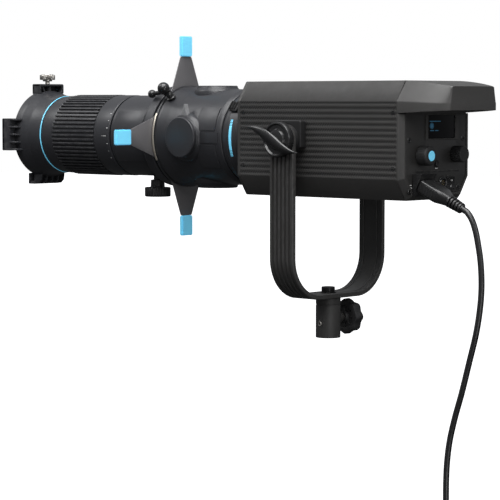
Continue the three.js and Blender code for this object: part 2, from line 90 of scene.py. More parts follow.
JOINTS = {joint["name"]: joint for joint in frame["joints"]}
AXIS_Z = JOINTS["head_tilt"]["pos_m"][2] / MM
SHELL = Box("head_shell")
YOKE = Box("yoke")


# Settings that a user would change.


class SpotlightSizes(bpy.types.PropertyGroup):
    """Sizes of the details that the frame doesn't hold."""

    grip_ribs: IntProperty(
        name="Grip ribs",
        description="Number of ribs round the zoom ring's grip",
        default=60,
        min=12,
    )
    side_bands: IntProperty(
        name="Side bands",
        description="Number of raised bands on each side of the housing",
        default=14,
        min=1,
    )
    cord_length: FloatProperty(
        name="Lead length",
        description="Real length of the mains lead",
        default=2.45,
        unit="LENGTH",
    )
    cord_diameter: FloatProperty(
        name="Lead diameter",
        description="Outer diameter of the mains lead",
        default=0.007,
        unit="LENGTH",
    )
    camera_distance: FloatProperty(
        name="Camera distance",
        description="Distance from the camera to the point it looks at",
        default=2.605,
        unit="LENGTH",
    )


class SpotlightColours(bpy.types.PropertyGroup):
    """Base colours of the finishes."""

    housing: FloatVectorProperty(
        name="Housing",
        description="Textured coat on the lamp housing and yoke",
        subtype="COLOR",
        default=(0.034, 0.033, 0.032),
    )
    barrel: FloatVectorProperty(
        name="Barrel",
        description="Satin moulding of the projection attachment",
        subtype="COLOR",
        default=(0.026, 0.0265, 0.030),
    )
    plastic: FloatVectorProperty(
        name="Plastic",
        description="Black plastic of knobs and trim",
        subtype="COLOR",
        default=(0.012, 0.012, 0.0125),
    )
    accent: FloatVectorProperty(
        name="Accent",
        description="Blue of the grips, ring and marks",
        subtype="COLOR",
        default=(0.20, 0.70, 1.0),
    )
    cable: FloatVectorProperty(
        name="Cable",
        description="Jacket of the mains lead",
        subtype="COLOR",
        default=(0.014, 0.014, 0.0145),
    )


def sizes():
    """The sizes set on the scene."""
    return bpy.context.scene.spotlight_sizes


def colours():
    """The colours set on the scene."""
    return bpy.context.scene.spotlight_colours


# Mesh helpers. Every helper takes millimetres and returns a bmesh or an object.


def show(name, made, coats, body, smooth=32, edge=None, segments=2):
    """Turns a bmesh in millimetres into a piece that rides on a body."""
    mesh = bpy.data.meshes.new(name)
    bmesh.ops.recalc_face_normals(made, faces=made.faces)
    bmesh.ops.scale(made, vec=(MM, MM, MM), verts=made.verts)
    made.to_mesh(mesh)
    made.free()
    piece = bpy.data.objects.new(name, mesh)
    bpy.context.collection.objects.link(piece)
    for material in coats if isinstance(coats, list) else [coats]:
        mesh.materials.append(material)
    mesh.shade_smooth()
    mesh.set_sharp_from_angle(angle=math.radians(smooth))
    if edge:
        soften(piece, edge, segments, smooth)
    if body:
        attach(piece, body)
    return piece


def soften(piece, edge, segments=2, angle=32):
    """Rounds a piece's sharp edges with a bevel, in millimetres."""
    bevel = piece.modifiers.new("edge", "BEVEL")
    bevel.width = edge * MM
    bevel.segments = segments
    bevel.limit_method = "ANGLE"
    bevel.angle_limit = math.radians(angle)
    bevel.harden_normals = True


def axis_matrix(axis, at=(0, 0, 0)):
    """Turns a shape drawn about +X so that it stands about another axis, at a place."""
    turn = {
        "X": Matrix.Identity(4),
        "-X": Matrix.Rotation(math.pi, 4, "Z"),
        "Y": Matrix.Rotation(QUARTER, 4, "Z"),
        "-Y": Matrix.Rotation(-QUARTER, 4, "Z"),
        "Z": Matrix.Rotation(-QUARTER, 4, "Y"),
        "-Z": Matrix.Rotation(QUARTER, 4, "Y"),
    }[axis]
    return Matrix.Translation(Vector(at)) @ turn


def turned(profile, steps=128, axis="X", at=(0, 0, 0)):
    """A turned solid from [along, radius] points. It closes on itself or on its axis."""
    made = bmesh.new()
    loops = []
    for along, radius in profile:
        if radius < 1e-6:
            loops.append([made.verts.new((along, 0, 0))])
            continue
        loops.append(
            [
                made.verts.new(
                    (
                        along,
                        radius * math.cos(math.tau * i / steps),
                        radius * math.sin(math.tau * i / steps),
                    )
                )
                for i in range(steps)
            ]
        )
    on_axis = len(loops[0]) == 1 and len(loops[-1]) == 1
    pairs = list(zip(loops, loops[1:]))
    if not on_axis:
        pairs.append((loops[-1], loops[0]))
    for first, second in pairs:
        for i in range(steps):
            j = (i + 1) % steps
            if len(first) == 1:
                made.faces.new((first[0], second[i], second[j]))
            elif len(second) == 1:
                made.faces.new((first[i], first[j], second[0]))
            else:
                made.faces.new((first[i], first[j], second[j], second[i]))
    made.transform(axis_matrix(axis, at))
    return made


def rounded(profile, radius, closed=True, bends=3):
    """Rounds the corners of an outline."""
    points = [Vector(point) for point in profile]
    count = len(points)
    result = []
    for i, point in enumerate(points):
        if not closed and i in (0, count - 1):
            result.append(tuple(point))
            continue
        before = points[i - 1] - point
        after = points[(i + 1) % count] - point
        reach = min(radius, before.length * 0.45, after.length * 0.45)
        start = point + before.normalized() * reach
        end = point + after.normalized() * reach
        for k in range(bends + 1):
            t = k / bends
            result.append(tuple((1 - t) ** 2 * start + 2 * t * (1 - t) * point + t * t * end))
    return result


def slab(outlines, low, high, axis="X", edge=0.5, bends=2):
    """Flat outlines, the first the rim and the rest its holes, raised between two heights.

    About X an outline is drawn in (Y, Z), about Y in (X, Z) and about Z in (X, Y).
    """
    curve = bpy.data.curves.new("slab", "CURVE")
    curve.dimensions = "2D"
    curve.fill_mode = "BOTH"
    curve.extrude = (high - low) / 2 - edge
    curve.bevel_depth = edge
    curve.bevel_resolution = bends
    curve.offset = -edge
    for outline in outlines:
        spline = curve.splines.new("POLY")
        spline.points.add(len(outline) - 1)
        for point, (a, b) in zip(spline.points, outline):
            point.co = (a, b, 0, 1)
        spline.use_cyclic_u = True
    holder = bpy.data.objects.new("slab", curve)
    bpy.context.collection.objects.link(holder)
    bpy.context.view_layer.update()
    mesh = holder.to_mesh()
    made = bmesh.new()
    made.from_mesh(mesh)
    holder.to_mesh_clear()
    bpy.data.objects.remove(holder)
    bpy.data.curves.remove(curve)
    bmesh.ops.remove_doubles(made, verts=made.verts, dist=1e-4)
    bmesh.ops.dissolve_degenerate(made, edges=made.edges, dist=1e-5)
    bmesh.ops.translate(made, verts=made.verts, vec=(0, 0, (high + low) / 2))
    columns = {
        "X": ((0, 1, 0), (0, 0, 1), (1, 0, 0)),
        "Y": ((1, 0, 0), (0, 0, 1), (0, 1, 0)),
        "Z": ((1, 0, 0), (0, 1, 0), (0, 0, 1)),
    }[axis]
    made.transform(Matrix(columns).transposed().to_4x4())
    return made


def block(x0, x1, y0, y1, z0, z1, edge=0.0, bends=2):
    """A bar with rounded edges between three pairs of planes."""
    made = bmesh.new()
    bmesh.ops.create_cube(made, size=1)
    centre = Vector(((x0 + x1) / 2, (y0 + y1) / 2, (z0 + z1) / 2))
    made.transform(Matrix.Diagonal((x1 - x0, y1 - y0, z1 - z0, 1)))
    made.transform(Matrix.Translation(centre))
    if edge:
        bmesh.ops.bevel(made, geom=made.edges[:], offset=edge, segments=bends, affect="EDGES")
    return made


def loft(rings, capped=True):
    """Skin over rings of points with equal counts."""
    made = bmesh.new()
    loops = [[made.verts.new(point) for point in ring] for ring in rings]
    count = len(loops[0])
    for first, second in zip(loops, loops[1:]):
        for i in range(count):
            j = (i + 1) % count
            made.faces.new((first[i], first[j], second[j], second[i]))
    if capped:
        made.faces.new(loops[0])
        made.faces.new(loops[-1])
    return made


def merge(*parts):
    """Several closed shapes as one bmesh."""
    whole = parts[0]
    for part in parts[1:]:
        mesh = bpy.data.meshes.new("merge")
        part.to_mesh(mesh)
        part.free()
        whole.from_mesh(mesh)
        bpy.data.meshes.remove(mesh)
    return whole


def moved(made, matrix):
    """The same shape, moved by a matrix."""
    made.transform(matrix)
    return made


def rectangle(a0, a1, b0, b1):
    """The four corners of an upright rectangle, anticlockwise."""
    return [(a0, b0), (a1, b0), (a1, b1), (a0, b1)]


def circle(radius, steps=64, at=(0, 0)):
    """A round outline."""
    return [
        (
            at[0] + radius * math.cos(math.tau * i / steps),
            at[1] + radius * math.sin(math.tau * i / steps),
        )
        for i in range(steps)
    ]


def fluted(radius, depth, count, steps=8):
    """A round outline with flutes of a depth, each drawn in a number of steps."""
    points = []
    for i in range(count * steps):
        angle = math.tau * i / (count * steps)
        reach = radius - depth * ((1 - math.cos(count * angle)) / 2)
        points.append((reach * math.cos(angle), reach * math.sin(angle)))
    return points


def knurled(radius, depth, count, low, high, axis="Z", at=(0, 0, 0), edge=0.6):
    """A knob's rim: a fluted round bar with softened ends, along an axis through a place."""
    rings = []
    low_end = [(low, edge), (low + edge * 0.35, edge * 0.3), (low + edge, 0)]
    high_end = [(high - edge, 0), (high - edge * 0.35, edge * 0.3), (high, edge)]
    for along, inset in low_end + high_end:
        outline = fluted(radius - inset, depth, count)
        rings.append([(along, a, b) for a, b in outline])
    return moved(loft(rings), axis_matrix(axis, at))


def rod(low, high, radius, axis="X", at=(0, 0, 0), edge=0.4, steps=48):
    """A plain turned pin with softened ends, along an axis through a place."""
    profile = [
        (low, 0),
        (low, radius - edge),
        (low + edge * 0.3, radius - edge * 0.3),
        (low + edge, radius),
        (high - edge, radius),
        (high - edge * 0.3, radius - edge * 0.3),
        (high, radius - edge),
        (high, 0),
    ]
    return turned(profile, steps, axis, at)


def arc_band(inner, outer, span, centre, steps=32):
    """An outline in (Y, Z) of a band about the optical axis, centred on an angle from +Y."""
    turns = [centre - span + 2 * span * k / steps for k in range(steps + 1)]
    return [(outer * math.cos(t), AXIS_Z + outer * math.sin(t)) for t in turns] + [
        (inner * math.cos(t), AXIS_Z + inner * math.sin(t)) for t in reversed(turns)
    ]


def about_beam(angle):
    """Turns a shape about the optical axis."""
    centre = Vector((0, 0, AXIS_Z))
    return Matrix.Translation(centre) @ Matrix.Rotation(angle, 4, "X") @ Matrix.Translation(-centre)


BEAM = (0, 0, AXIS_Z)


# Finishes.


class Nodes:
    """A small builder for one material's nodes."""

    def __init__(self, name):
        self.material = bpy.data.materials.new(name)
        self.material.use_nodes = True
        self.tree = self.material.node_tree
        self.shader = self.tree.nodes["Principled BSDF"]
        self.coordinates = self.add("ShaderNodeTexCoord").outputs["Object"]

    def add(self, kind, **values):
        """A new node with its settings."""
        node = self.tree.nodes.new(kind)
        for key, value in values.items():
            setattr(node, key, value)
        return node

    def link(self, source, target):
        self.tree.links.new(source, target)

    def set(self, **values):
        """Sets the shader's own sockets."""
        for key, value in values.items():
            self.shader.inputs[key.replace("_", " ")].default_value = value
        return self

    def noise(self, scale, detail=3.0, roughness=0.5, stretch=None):
        """Noise over the piece, in metres."""
        node = self.add("ShaderNodeTexNoise")
        node.inputs["Scale"].default_value = scale
        node.inputs["Detail"].default_value = detail
        node.inputs["Roughness"].default_value = roughness
        source = self.coordinates
        if stretch:
            mapping = self.add("ShaderNodeMapping")
            mapping.inputs["Scale"].default_value = stretch
            self.link(source, mapping.inputs["Vector"])
            source = mapping.outputs["Vector"]
        self.link(source, node.inputs["Vector"])
        return node.outputs["Fac"]

    def spread(self, source, low, high, start=0.3, end=0.7):
        """Maps a value between start and end to one between low and high."""
        node = self.add("ShaderNodeMapRange")
        for key, value in (("From Min", start), ("From Max", end), ("To Min", low), ("To Max", high)):
            node.inputs[key].default_value = value
        self.link(source, node.inputs["Value"])
        return node.outputs["Result"]

    def mix(self, factor, first, second):
        """A blend of two colours."""
        node = self.add("ShaderNodeMix", data_type="RGBA")
        for value, key in ((factor, 0), (first, 6), (second, 7)):
            if isinstance(value, bpy.types.NodeSocket):
                self.link(value, node.inputs[key])
            else:
                node.inputs[key].default_value = value
        return node.outputs[2]

    def maths(self, operation, first, second=0.0):
        """One sum of two values."""
        node = self.add("ShaderNodeMath", operation=operation)
        for value, key in ((first, 0), (second, 1)):
            if isinstance(value, bpy.types.NodeSocket):
                self.link(value, node.inputs[key])
            else:
                node.inputs[key].default_value = value
        return node.outputs[0]

    def bump(self, height, distance, strength=1.0, normal=None):
        """A bumped normal, over another one where it is given."""
        node = self.add("ShaderNodeBump")
        node.inputs["Distance"].default_value = distance
        node.inputs["Strength"].default_value = strength
        self.link(height, node.inputs["Height"])
        if normal:
            self.link(normal, node.inputs["Normal"])
        return node.outputs["Normal"]

    def worn_edges(self, colour, amount):
        """Lightens the colour on edges that hands and cases rub."""
        geometry = self.add("ShaderNodeNewGeometry")
        edge = self.spread(geometry.outputs["Pointiness"], 0.0, 1.0, 0.56, 0.66)
        patch = self.spread(self.noise(160, 4), 0.0, amount, 0.45, 0.62)
        worn = self.maths("MULTIPLY", edge, patch)
        return self.mix(worn, colour, (0.20, 0.195, 0.19, 1))


def shade(colour, gain):
    """A colour made lighter or darker, with its alpha."""
    return tuple(min(1.0, value * gain) for value in colour[:3]) + (1.0,)


_finishes = {}


def finish(name):
    """The finish of that name, made the first time it is asked for."""
    if name not in _finishes:
        _finishes[name] = FINISHES[name](name)
    return _finishes[name]


def coated(name, colour, rough, metal, grain, depth, wear=0.25, spec=0.5):
    """A mottled coat or moulding with a fine grain and rubbed edges."""
    made = Nodes(name)
    made.set(Metallic=metal, Specular_IOR_Level=spec)
    mottle = made.spread(made.noise(14, 3), 0.0, 1.0, 0.2, 0.8)
    base = made.mix(mottle, shade(colour, 0.96), shade(colour, 1.04))
    speckle = made.spread(made.noise(grain * 0.8, 2), 0.0, 0.25, 0.5, 0.75)
    base = made.mix(speckle, base, shade(colour, 1.5))
    made.link(made.worn_edges(base, wear), made.shader.inputs["Base Color"])
    made.link(made.spread(made.noise(60, 4), rough - 0.05, rough + 0.07), made.shader.inputs["Roughness"])
    made.link(made.bump(made.noise(grain, 3, 0.6), depth), made.shader.inputs["Normal"])
    return made.material


def housing_coat(name):
    """Textured coat of the housing, the yoke and the socket."""
    return coated(name, colours().housing, 0.5, 0.0, 2600, 0.00004)


def hood_coat(name):
    """The same coat, a shade lighter, on the hood."""
    return coated(name, shade(colours().housing, 1.25), 0.46, 0.0, 2000, 0.00003)


def barrel_satin(name):
    """Satin moulding of the attachment."""
    return coated(name, colours().barrel, 0.36, 0.0, 3200, 0.00001, 0.15)


def black_moulding(name):
    """Fine-grained black moulding."""
    return coated(name, colours().plastic, 0.42, 0.0, 2800, 0.00002, 0.12)


def gloss_black(name):
    """Smooth black with a sharp gleam."""
    return coated(name, shade(colours().plastic, 0.9), 0.24, 0.0, 1800, 0.00001, 0.1, 0.7)


def soft_black(name):
    """Dull black of the dials and knobs."""
    return coated(name, shade(colours().plastic, 1.3), 0.62, 0.0, 2200, 0.00003, 0.1)


def black_steel(name):
    """Blackened steel of bolts."""
    return coated(name, shade(colours().plastic, 1.1), 0.32, 0.6, 1500, 0.00001, 0.3)


def blade_steel(name):
    """Dark steel of the shutter blades."""
    return coated(name, (0.17, 0.165, 0.17), 0.42, 0.4, 1200, 0.00001, 0.3)


def panel_coat(name):
    """Darker, smoother coat of the control panel."""
    return coated(name, shade(colours().housing, 0.62), 0.4, 0.0, 2400, 0.00003, 0.3, 0.7)


SLIT_PITCH = 0.0036  # metres between slits along a side
SLIT_LEAN = 1.6  # slits that one passes in a band's height


def perforated_side(name):
    """Coat of the ribbed sides: fine slanting slits between smoother bands, with painted shade: the bands
    are lighter on their crests and darker in their grooves, and the slits are painted near black.
    """
    made = Nodes(name)
    made.set(Metallic=0.0, Specular_IOR_Level=0.5)
    colour = colours().housing
    place = made.add("ShaderNodeSeparateXYZ")
    made.link(made.coordinates, place.inputs["Vector"])
    height = 2 * side_half_height() * MM
    bottom = AXIS_Z * MM - height / 2
    rows = made.maths(
        "MULTIPLY", made.maths("SUBTRACT", place.outputs["Z"], bottom), sizes().side_bands / height,
    )
    along = made.maths("MULTIPLY", place.outputs["X"], math.tau / SLIT_PITCH)
    lean = made.maths("MULTIPLY", made.maths("PINGPONG", rows, 0.5), math.tau * SLIT_LEAN)
    slits = made.spread(made.maths("SINE", made.maths("ADD", along, lean)), 0.0, 1.0, -0.2, 0.7)
    # Painted shade: each band is painted lighter on its crest and darker in its groove, where the ribs'
    # shade falls.
    wave = made.maths("COSINE", made.maths("MULTIPLY", made.maths("SUBTRACT", rows, 0.25), math.tau))
    groove = made.spread(wave, 1.0, 0.0, -0.7, 0.7)
    # Painted shade: the slits are painted near black, most strongly in the grooves, as the shade inside
    # them.
    holes = made.maths("MULTIPLY", slits, made.maths("ADD", made.maths("MULTIPLY", groove, 0.65), 0.3))
    band_shade = made.mix(groove, shade(colour, 1.4), shade(colour, 0.62))
    base = made.mix(holes, band_shade, shade(colour, 0.18))
    made.link(base, made.shader.inputs["Base Color"])
    made.link(made.spread(made.noise(60, 4), 0.46, 0.56), made.shader.inputs["Roughness"])
    depth = made.maths("SUBTRACT", 1.0, holes)
    rough_coat = made.bump(made.noise(2600, 3, 0.6), 0.00004)
    made.link(made.bump(depth, 0.0004, 0.7, rough_coat), made.shader.inputs["Normal"])
    return made.material


def accent_plastic(name):
    """Bright blue moulding with a painted glow: a weak emission brightens it as if more light fell on it."""
    made = Nodes(name)
    colour = colours().accent
    # Painted glow: a weak blue emission, though the moulding is no lamp.
    made.set(Specular_IOR_Level=0.45, Emission_Color=shade(colour, 1.0), Emission_Strength=0.22)
    mottle = made.spread(made.noise(40, 3), 0.0, 1.0, 0.3, 0.7)
    base = made.mix(mottle, shade(colour, 0.96), shade(colour, 1.04))
    made.link(made.worn_edges(base, 0.05), made.shader.inputs["Base Color"])
    made.link(made.spread(made.noise(90, 4), 0.36, 0.46), made.shader.inputs["Roughness"])
    made.link(made.bump(made.noise(3000, 2), 0.00001), made.shader.inputs["Normal"])
    return made.material


def metal(name, colour, rough, stretch=(1, 1, 1), depth=0.00001):
    """A bare metal with fine drawn streaks."""
    made = Nodes(name)
    made.set(Metallic=1.0)
    streak = made.spread(made.noise(900, 3, 0.6, stretch), 0.0, 1.0, 0.3, 0.7)
    made.link(made.mix(streak, shade(colour, 0.85), shade(colour, 1.08)), made.shader.inputs["Base Color"])
    made.link(made.spread(made.noise(70, 4), rough - 0.05, rough + 0.08), made.shader.inputs["Roughness"])
    made.link(made.bump(streak, depth, 0.5), made.shader.inputs["Normal"])
    return made.material


def nickel(name):
    """Plated steel of studs and screws."""
    return metal(name, (0.62, 0.59, 0.55), 0.26, (1, 1, 8))


def highlight_steel(name):
    """Bright steel of a painted highlight along the rim at the shutters' slot."""
    return metal(name, (0.88, 0.82, 0.70), 0.45, (8, 1, 1))


def aluminium(name):
    """Drawn aluminium of the heat sink."""
    return metal(name, (0.55, 0.56, 0.57), 0.38, (1, 1, 12))


def brass_pin(name):
    """Brass of pins and plug blades."""
    return metal(name, (0.70, 0.55, 0.28), 0.3)


def lens_glass(name):
    """Clear glass with a violet coating."""
    made = Nodes(name)
    made.set(Transmission_Weight=1.0, IOR=1.5, Coat_Weight=0.35)
    made.shader.inputs["Coat Tint"].default_value = (0.75, 0.65, 1.0, 1)
    haze = made.spread(made.noise(30, 3), 0.0, 1.0, 0.35, 0.65)
    made.link(made.mix(haze, (0.95, 0.97, 1.0, 1), (0.90, 0.95, 0.98, 1)), made.shader.inputs["Base Color"])
    made.link(made.spread(made.noise(45, 3), 0.01, 0.05), made.shader.inputs["Roughness"])
    return made.material


def window_glass(name):
    """Nearly black pane with faint smudges."""
    made = Nodes(name)
    made.set(Specular_IOR_Level=0.2)
    smudge = made.spread(made.noise(55, 4), 0.0, 1.0, 0.4, 0.7)
    made.link(
        made.mix(smudge, (0.002, 0.002, 0.0025, 1), (0.004, 0.004, 0.005, 1)),
        made.shader.inputs["Base Color"],
    )
    made.link(made.spread(made.noise(80, 4), 0.05, 0.14), made.shader.inputs["Roughness"])
    return made.material


def lit_glyph(name):
    """Dim blue of the display's marks."""
    made = Nodes(name)
    made.set(Base_Color=(0.01, 0.02, 0.04, 1), Emission_Strength=0.16)
    fade = made.spread(made.noise(200, 2), 0.0, 1.0)
    made.link(
        made.mix(fade, (0.05, 0.24, 0.42, 1), (0.08, 0.33, 0.55, 1)), made.shader.inputs["Emission Color"],
    )
    return made.material


def printed(name, thin, full):
    """Print whose ink is thinner in places."""
    made = Nodes(name)
    fade = made.spread(made.noise(300, 4), 0.0, 1.0, 0.3, 0.6)
    made.link(made.mix(fade, thin, full), made.shader.inputs["Base Color"])
    made.link(made.spread(made.noise(100, 3), 0.45, 0.6), made.shader.inputs["Roughness"])
    return made.material


def white_print(name):
    """White printed marks."""
    return printed(name, (0.55, 0.55, 0.54, 1), (0.75, 0.75, 0.74, 1))


def grey_print(name):
    """Grey printed marks."""
    return printed(name, (0.16, 0.16, 0.165, 1), (0.20, 0.20, 0.205, 1))


def laminate(name):
    """Green circuit board with its tracks."""
    made = Nodes(name)
    tracks = made.add("ShaderNodeTexBrick")
    tracks.inputs["Scale"].default_value = 90
    tracks.inputs["Color1"].default_value = (0.010, 0.075, 0.035, 1)
    tracks.inputs["Color2"].default_value = (0.014, 0.095, 0.045, 1)
    tracks.inputs["Mortar"].default_value = (0.03, 0.16, 0.08, 1)
    made.link(made.coordinates, tracks.inputs["Vector"])
    made.link(tracks.outputs["Color"], made.shader.inputs["Base Color"])
    made.link(made.spread(made.noise(100, 3), 0.35, 0.5), made.shader.inputs["Roughness"])
    return made.material


def phosphor(name):
    """Yellow emitter with its cells."""
    made = Nodes(name)
    made.set(Subsurface_Weight=0.2)
    cells = made.add("ShaderNodeTexVoronoi")
    cells.inputs["Scale"].default_value = 420
    made.link(made.coordinates, cells.inputs["Vector"])
    grid = made.spread(cells.outputs["Distance"], 0.0, 1.0, 0.1, 0.6)
    made.link(made.mix(grid, (0.85, 0.62, 0.10, 1), (0.80, 0.70, 0.22, 1)), made.shader.inputs["Base Color"])
    made.link(made.spread(made.noise(80, 3), 0.3, 0.5), made.shader.inputs["Roughness"])
    return made.material


def cable_jacket(name):
    """Rubber jacket of the lead, plug and connector."""
    return coated(name, colours().cable, 0.3, 0.0, 1800, 0.00002, 0.05, 0.6)


FINISHES = {
    "housing_coat": housing_coat,
    "hood_coat": hood_coat,
    "perforated_side": perforated_side,
    "panel_coat": panel_coat,
    "barrel_satin": barrel_satin,
    "black_moulding": black_moulding,
    "soft_black": soft_black,
    "gloss_black": gloss_black,
    "black_steel": black_steel,
    "blade_steel": blade_steel,
    "accent_plastic": accent_plastic,
    "nickel": nickel,
    "highlight_steel": highlight_steel,
    "aluminium": aluminium,
    "brass_pin": brass_pin,
    "lens_glass": lens_glass,
    "window_glass": window_glass,
    "lit_glyph": lit_glyph,
    "white_print": white_print,
    "grey_print": grey_print,
    "laminate": laminate,
    "phosphor": phosphor,
    "cable_jacket": cable_jacket,
}


# Stage.

CAMERA_TURN = math.radians(42.9)
CAMERA_RISE = math.radians(4.05)
LOOK_AT = Vector((-0.1266, 0.0, 0.0976))
CAMERA_LENS = 153.1
SENSOR_WIDTH = 36
FLOOR_DROP = 1.6


def make_camera():
    """Camera to the rear right of the object, a little above it."""
    back = Vector(
        (
            math.sin(CAMERA_TURN) * math.cos(CAMERA_RISE),
            -math.cos(CAMERA_TURN) * math.cos(CAMERA_RISE),
            math.sin(CAMERA_RISE),
        )
    )
    data = bpy.data.cameras.new("camera")
    data.lens = CAMERA_LENS
    data.sensor_width = SENSOR_WIDTH
    data.clip_start = 0.1
    data.clip_end = 60
    camera = bpy.data.objects.new("camera", data)
    camera.location = LOOK_AT + back * sizes().camera_distance
    camera.rotation_mode = "QUATERNION"
    camera.rotation_quaternion = (-back).to_track_quat("-Z", "Y")
    bpy.context.collection.objects.link(camera)
    bpy.context.scene.camera = camera


def softbox(name, at, target, width, height, power):
    """A rectangular light at a place in metres, turned to a target."""
    data = bpy.data.lights.new(name, "AREA")
    data.shape = "RECTANGLE"
    data.size = width
    data.size_y = height
    data.energy = power
    light = bpy.data.objects.new(name, data)
    light.location = at
    light.rotation_mode = "QUATERNION"
    light.rotation_quaternion = (Vector(target) - Vector(at)).to_track_quat("-Z", "Y")
    bpy.context.collection.objects.link(light)


def make_lights():
    """Soft lights above, in front, behind and below."""
    scene = bpy.context.scene
    scene.view_settings.view_transform = "Standard"
    softbox("overhead", (0.35, -0.55, 2.2), (-0.05, 0, 0.2), 2.2, 1.5, 62)
    softbox("near_key", (1.0, -2.3, 2.1), (-0.05, 0, 0.15), 1.5, 1.0, 30)
    softbox("rear_glint", (2.4, -0.2, 1.1), (0.16, 0, 0.22), 0.35, 0.9, 7)
    softbox("front_fill", (-2.1, -1.3, 2.2), (-0.3, 0, 0.25), 1.1, 0.9, 16)
    softbox("low_fill", (2.2, -1.1, -0.4), (-0.3, 0, 0.1), 0.9, 0.9, 8)


def make_world():
    """White all round, and a softer light from above than from below."""
    world = bpy.data.worlds.new("studio")
    bpy.context.scene.world = world
    world.use_nodes = True
    tree = world.node_tree
    seen = tree.nodes["Background"]
    seen.inputs["Color"].default_value = (1, 1, 1, 1)
    seen.inputs["Strength"].default_value = 1.0
    lit = tree.nodes.new("ShaderNodeBackground")
    lit.inputs["Color"].default_value = (0.95, 0.97, 1.0, 1)
    direction = tree.nodes.new("ShaderNodeSeparateXYZ")
    tree.links.new(tree.nodes.new("ShaderNodeTexCoord").outputs["Generated"], direction.inputs[0])
    height = tree.nodes.new("ShaderNodeMapRange")
    for key, value in (("From Min", -0.25), ("From Max", 0.9), ("To Min", 0.05), ("To Max", 0.55)):
        height.inputs[key].default_value = value
    tree.links.new(direction.outputs["Z"], height.inputs["Value"])
    tree.links.new(height.outputs["Result"], lit.inputs["Strength"])
    path = tree.nodes.new("ShaderNodeLightPath")
    blend = tree.nodes.new("ShaderNodeMixShader")
    tree.links.new(path.outputs["Is Camera Ray"], blend.inputs[0])
    tree.links.new(lit.outputs[0], blend.inputs[1])
    tree.links.new(seen.outputs[0], blend.inputs[2])
    tree.links.new(blend.outputs[0], tree.nodes["World Output"].inputs["Surface"])


def make_floor():
    """Pale floor far below, lit so that it matches the surroundings."""
    made = bmesh.new()
    bmesh.ops.create_grid(made, x_segments=1, y_segments=1, size=40)
    mesh = bpy.data.meshes.new("floor")
    made.to_mesh(mesh)
    made.free()
    floor = bpy.data.objects.new("floor", mesh)
    floor.location = (0, 0, -FLOOR_DROP)
    pale = Nodes("pale_floor")
    tint = pale.spread(pale.noise(2, 2), 0.0, 1.0)
    pale.link(pale.mix(tint, (0.82, 0.82, 0.82, 1), (0.85, 0.85, 0.85, 1)), pale.shader.inputs["Base Color"])
    pale.set(Roughness=0.9, Emission_Strength=1.0)
    pale.shader.inputs["Emission Color"].default_value = (1, 1, 1, 1)
    mesh.materials.append(pale.material)
    floor.visible_diffuse = False
    floor.visible_glossy = False
    bpy.context.collection.objects.link(floor)


# Mains lead.

CONNECTOR_DROOP = math.radians(25)
CONNECTOR_LENGTH = 58.2
CONNECTOR_AXIS = Vector((math.cos(CONNECTOR_DROOP), 0, -math.sin(CONNECTOR_DROOP)))
LEAD_ROUTE = [
    (221.4, -30, 160.8), (227.2, -30, 157.7), (233.6, -30, 150), (238.8, -30, 138), (242.8, -30, 122),
    (245.8, -30, 106), (247.8, -30.5, 88), (248.2, -31, 70), (246.8, -32, 49), (242.8, -33, 24),
    (234.5, -34, -8), (225.5, -35, -42), (216.5, -36, -72), (210.5, -37, -98), (207.6, -37.6, -122),
    (206.8, -38, -145), (206.8, -38, -170),
]
COIL_PITCH = 7.2
COIL_LAYERS = ((1, -1), (0, -1), (-1, -1), (-1, 0), (0, 0), (1, 0), (1, 1), (0, 1), (0, 2))
COIL_STEPS = 36
COIL_HALF = 11.5  # from the middle of the coil's turns to its outside
TIE_HALF = 11.2


def smooth_path(points, steps=8):
    """A centripetal curve through given points."""
    points = [Vector(point) for point in points]
    padded = [2 * points[0] - points[1], *points, 2 * points[-1] - points[-2]]
    path = []
    for a, b, c, d in zip(padded, padded[1:], padded[2:], padded[3:]):
        times = [0.0]
        for first, second in ((a, b), (b, c), (c, d)):
            times.append(times[-1] + math.sqrt((second - first).length))
        for k in range(steps):
            t = times[1] + (times[2] - times[1]) * k / steps
            ab = a.lerp(b, (t - times[0]) / (times[1] - times[0]))
            bc = b.lerp(c, (t - times[1]) / (times[2] - times[1]))
            cd = c.lerp(d, (t - times[2]) / (times[3] - times[2]))
            abc = ab.lerp(bc, (t - times[0]) / (times[2] - times[0]))
            bcd = bc.lerp(cd, (t - times[1]) / (times[3] - times[1]))
            path.append(abc.lerp(bcd, (t - times[1]) / (times[2] - times[1])))
    path.append(points[-1])
    return path


def coil_path():
    """Turns beside and on each other, then the tail down to the plug."""
    coil = Box("cord_coil")
    plug = Box("mains_plug")
    mean = coil.radius - COIL_HALF
    path = []
    turns = len(COIL_LAYERS) - 1
    for turn in range(turns):
        (layer, column), (next_layer, next_column) = COIL_LAYERS[turn], COIL_LAYERS[turn + 1]
        for step in range(COIL_STEPS):
            part = step / COIL_STEPS
            ease = min(1.0, max(0.0, (part - 0.55) / 0.45))
            ease = ease * ease * (3 - 2 * ease)
            radius = mean + COIL_PITCH * (layer + (next_layer - layer) * ease)
            side = COIL_PITCH * (column + (next_column - column) * ease)
            angle = -math.tau * part
            path.append(
                Vector((coil.x + radius * math.cos(angle), coil.y + side, coil.z + radius * math.sin(angle)))
            )
    for height in (coil.z, coil.z - 18, plug.z1 + 0.4):
        path.append(Vector((coil.x + mean, coil.y + 2 * COIL_PITCH, height)))
    return path


def tube(path, radius, sides=16):
    """A round tube along points, with caps."""
    rings = []
    normal = Vector((0, 1, 0))
    for i, point in enumerate(path):
        ahead = path[min(i + 1, len(path) - 1)]
        behind = path[max(i - 1, 0)]
        tangent = (ahead - behind).normalized()
        normal = (normal - tangent * normal.dot(tangent)).normalized()
        side = tangent.cross(normal)
        rings.append([tuple(point + a * normal + b * side) for a, b in circle(radius, sides)])
    return loft(rings)


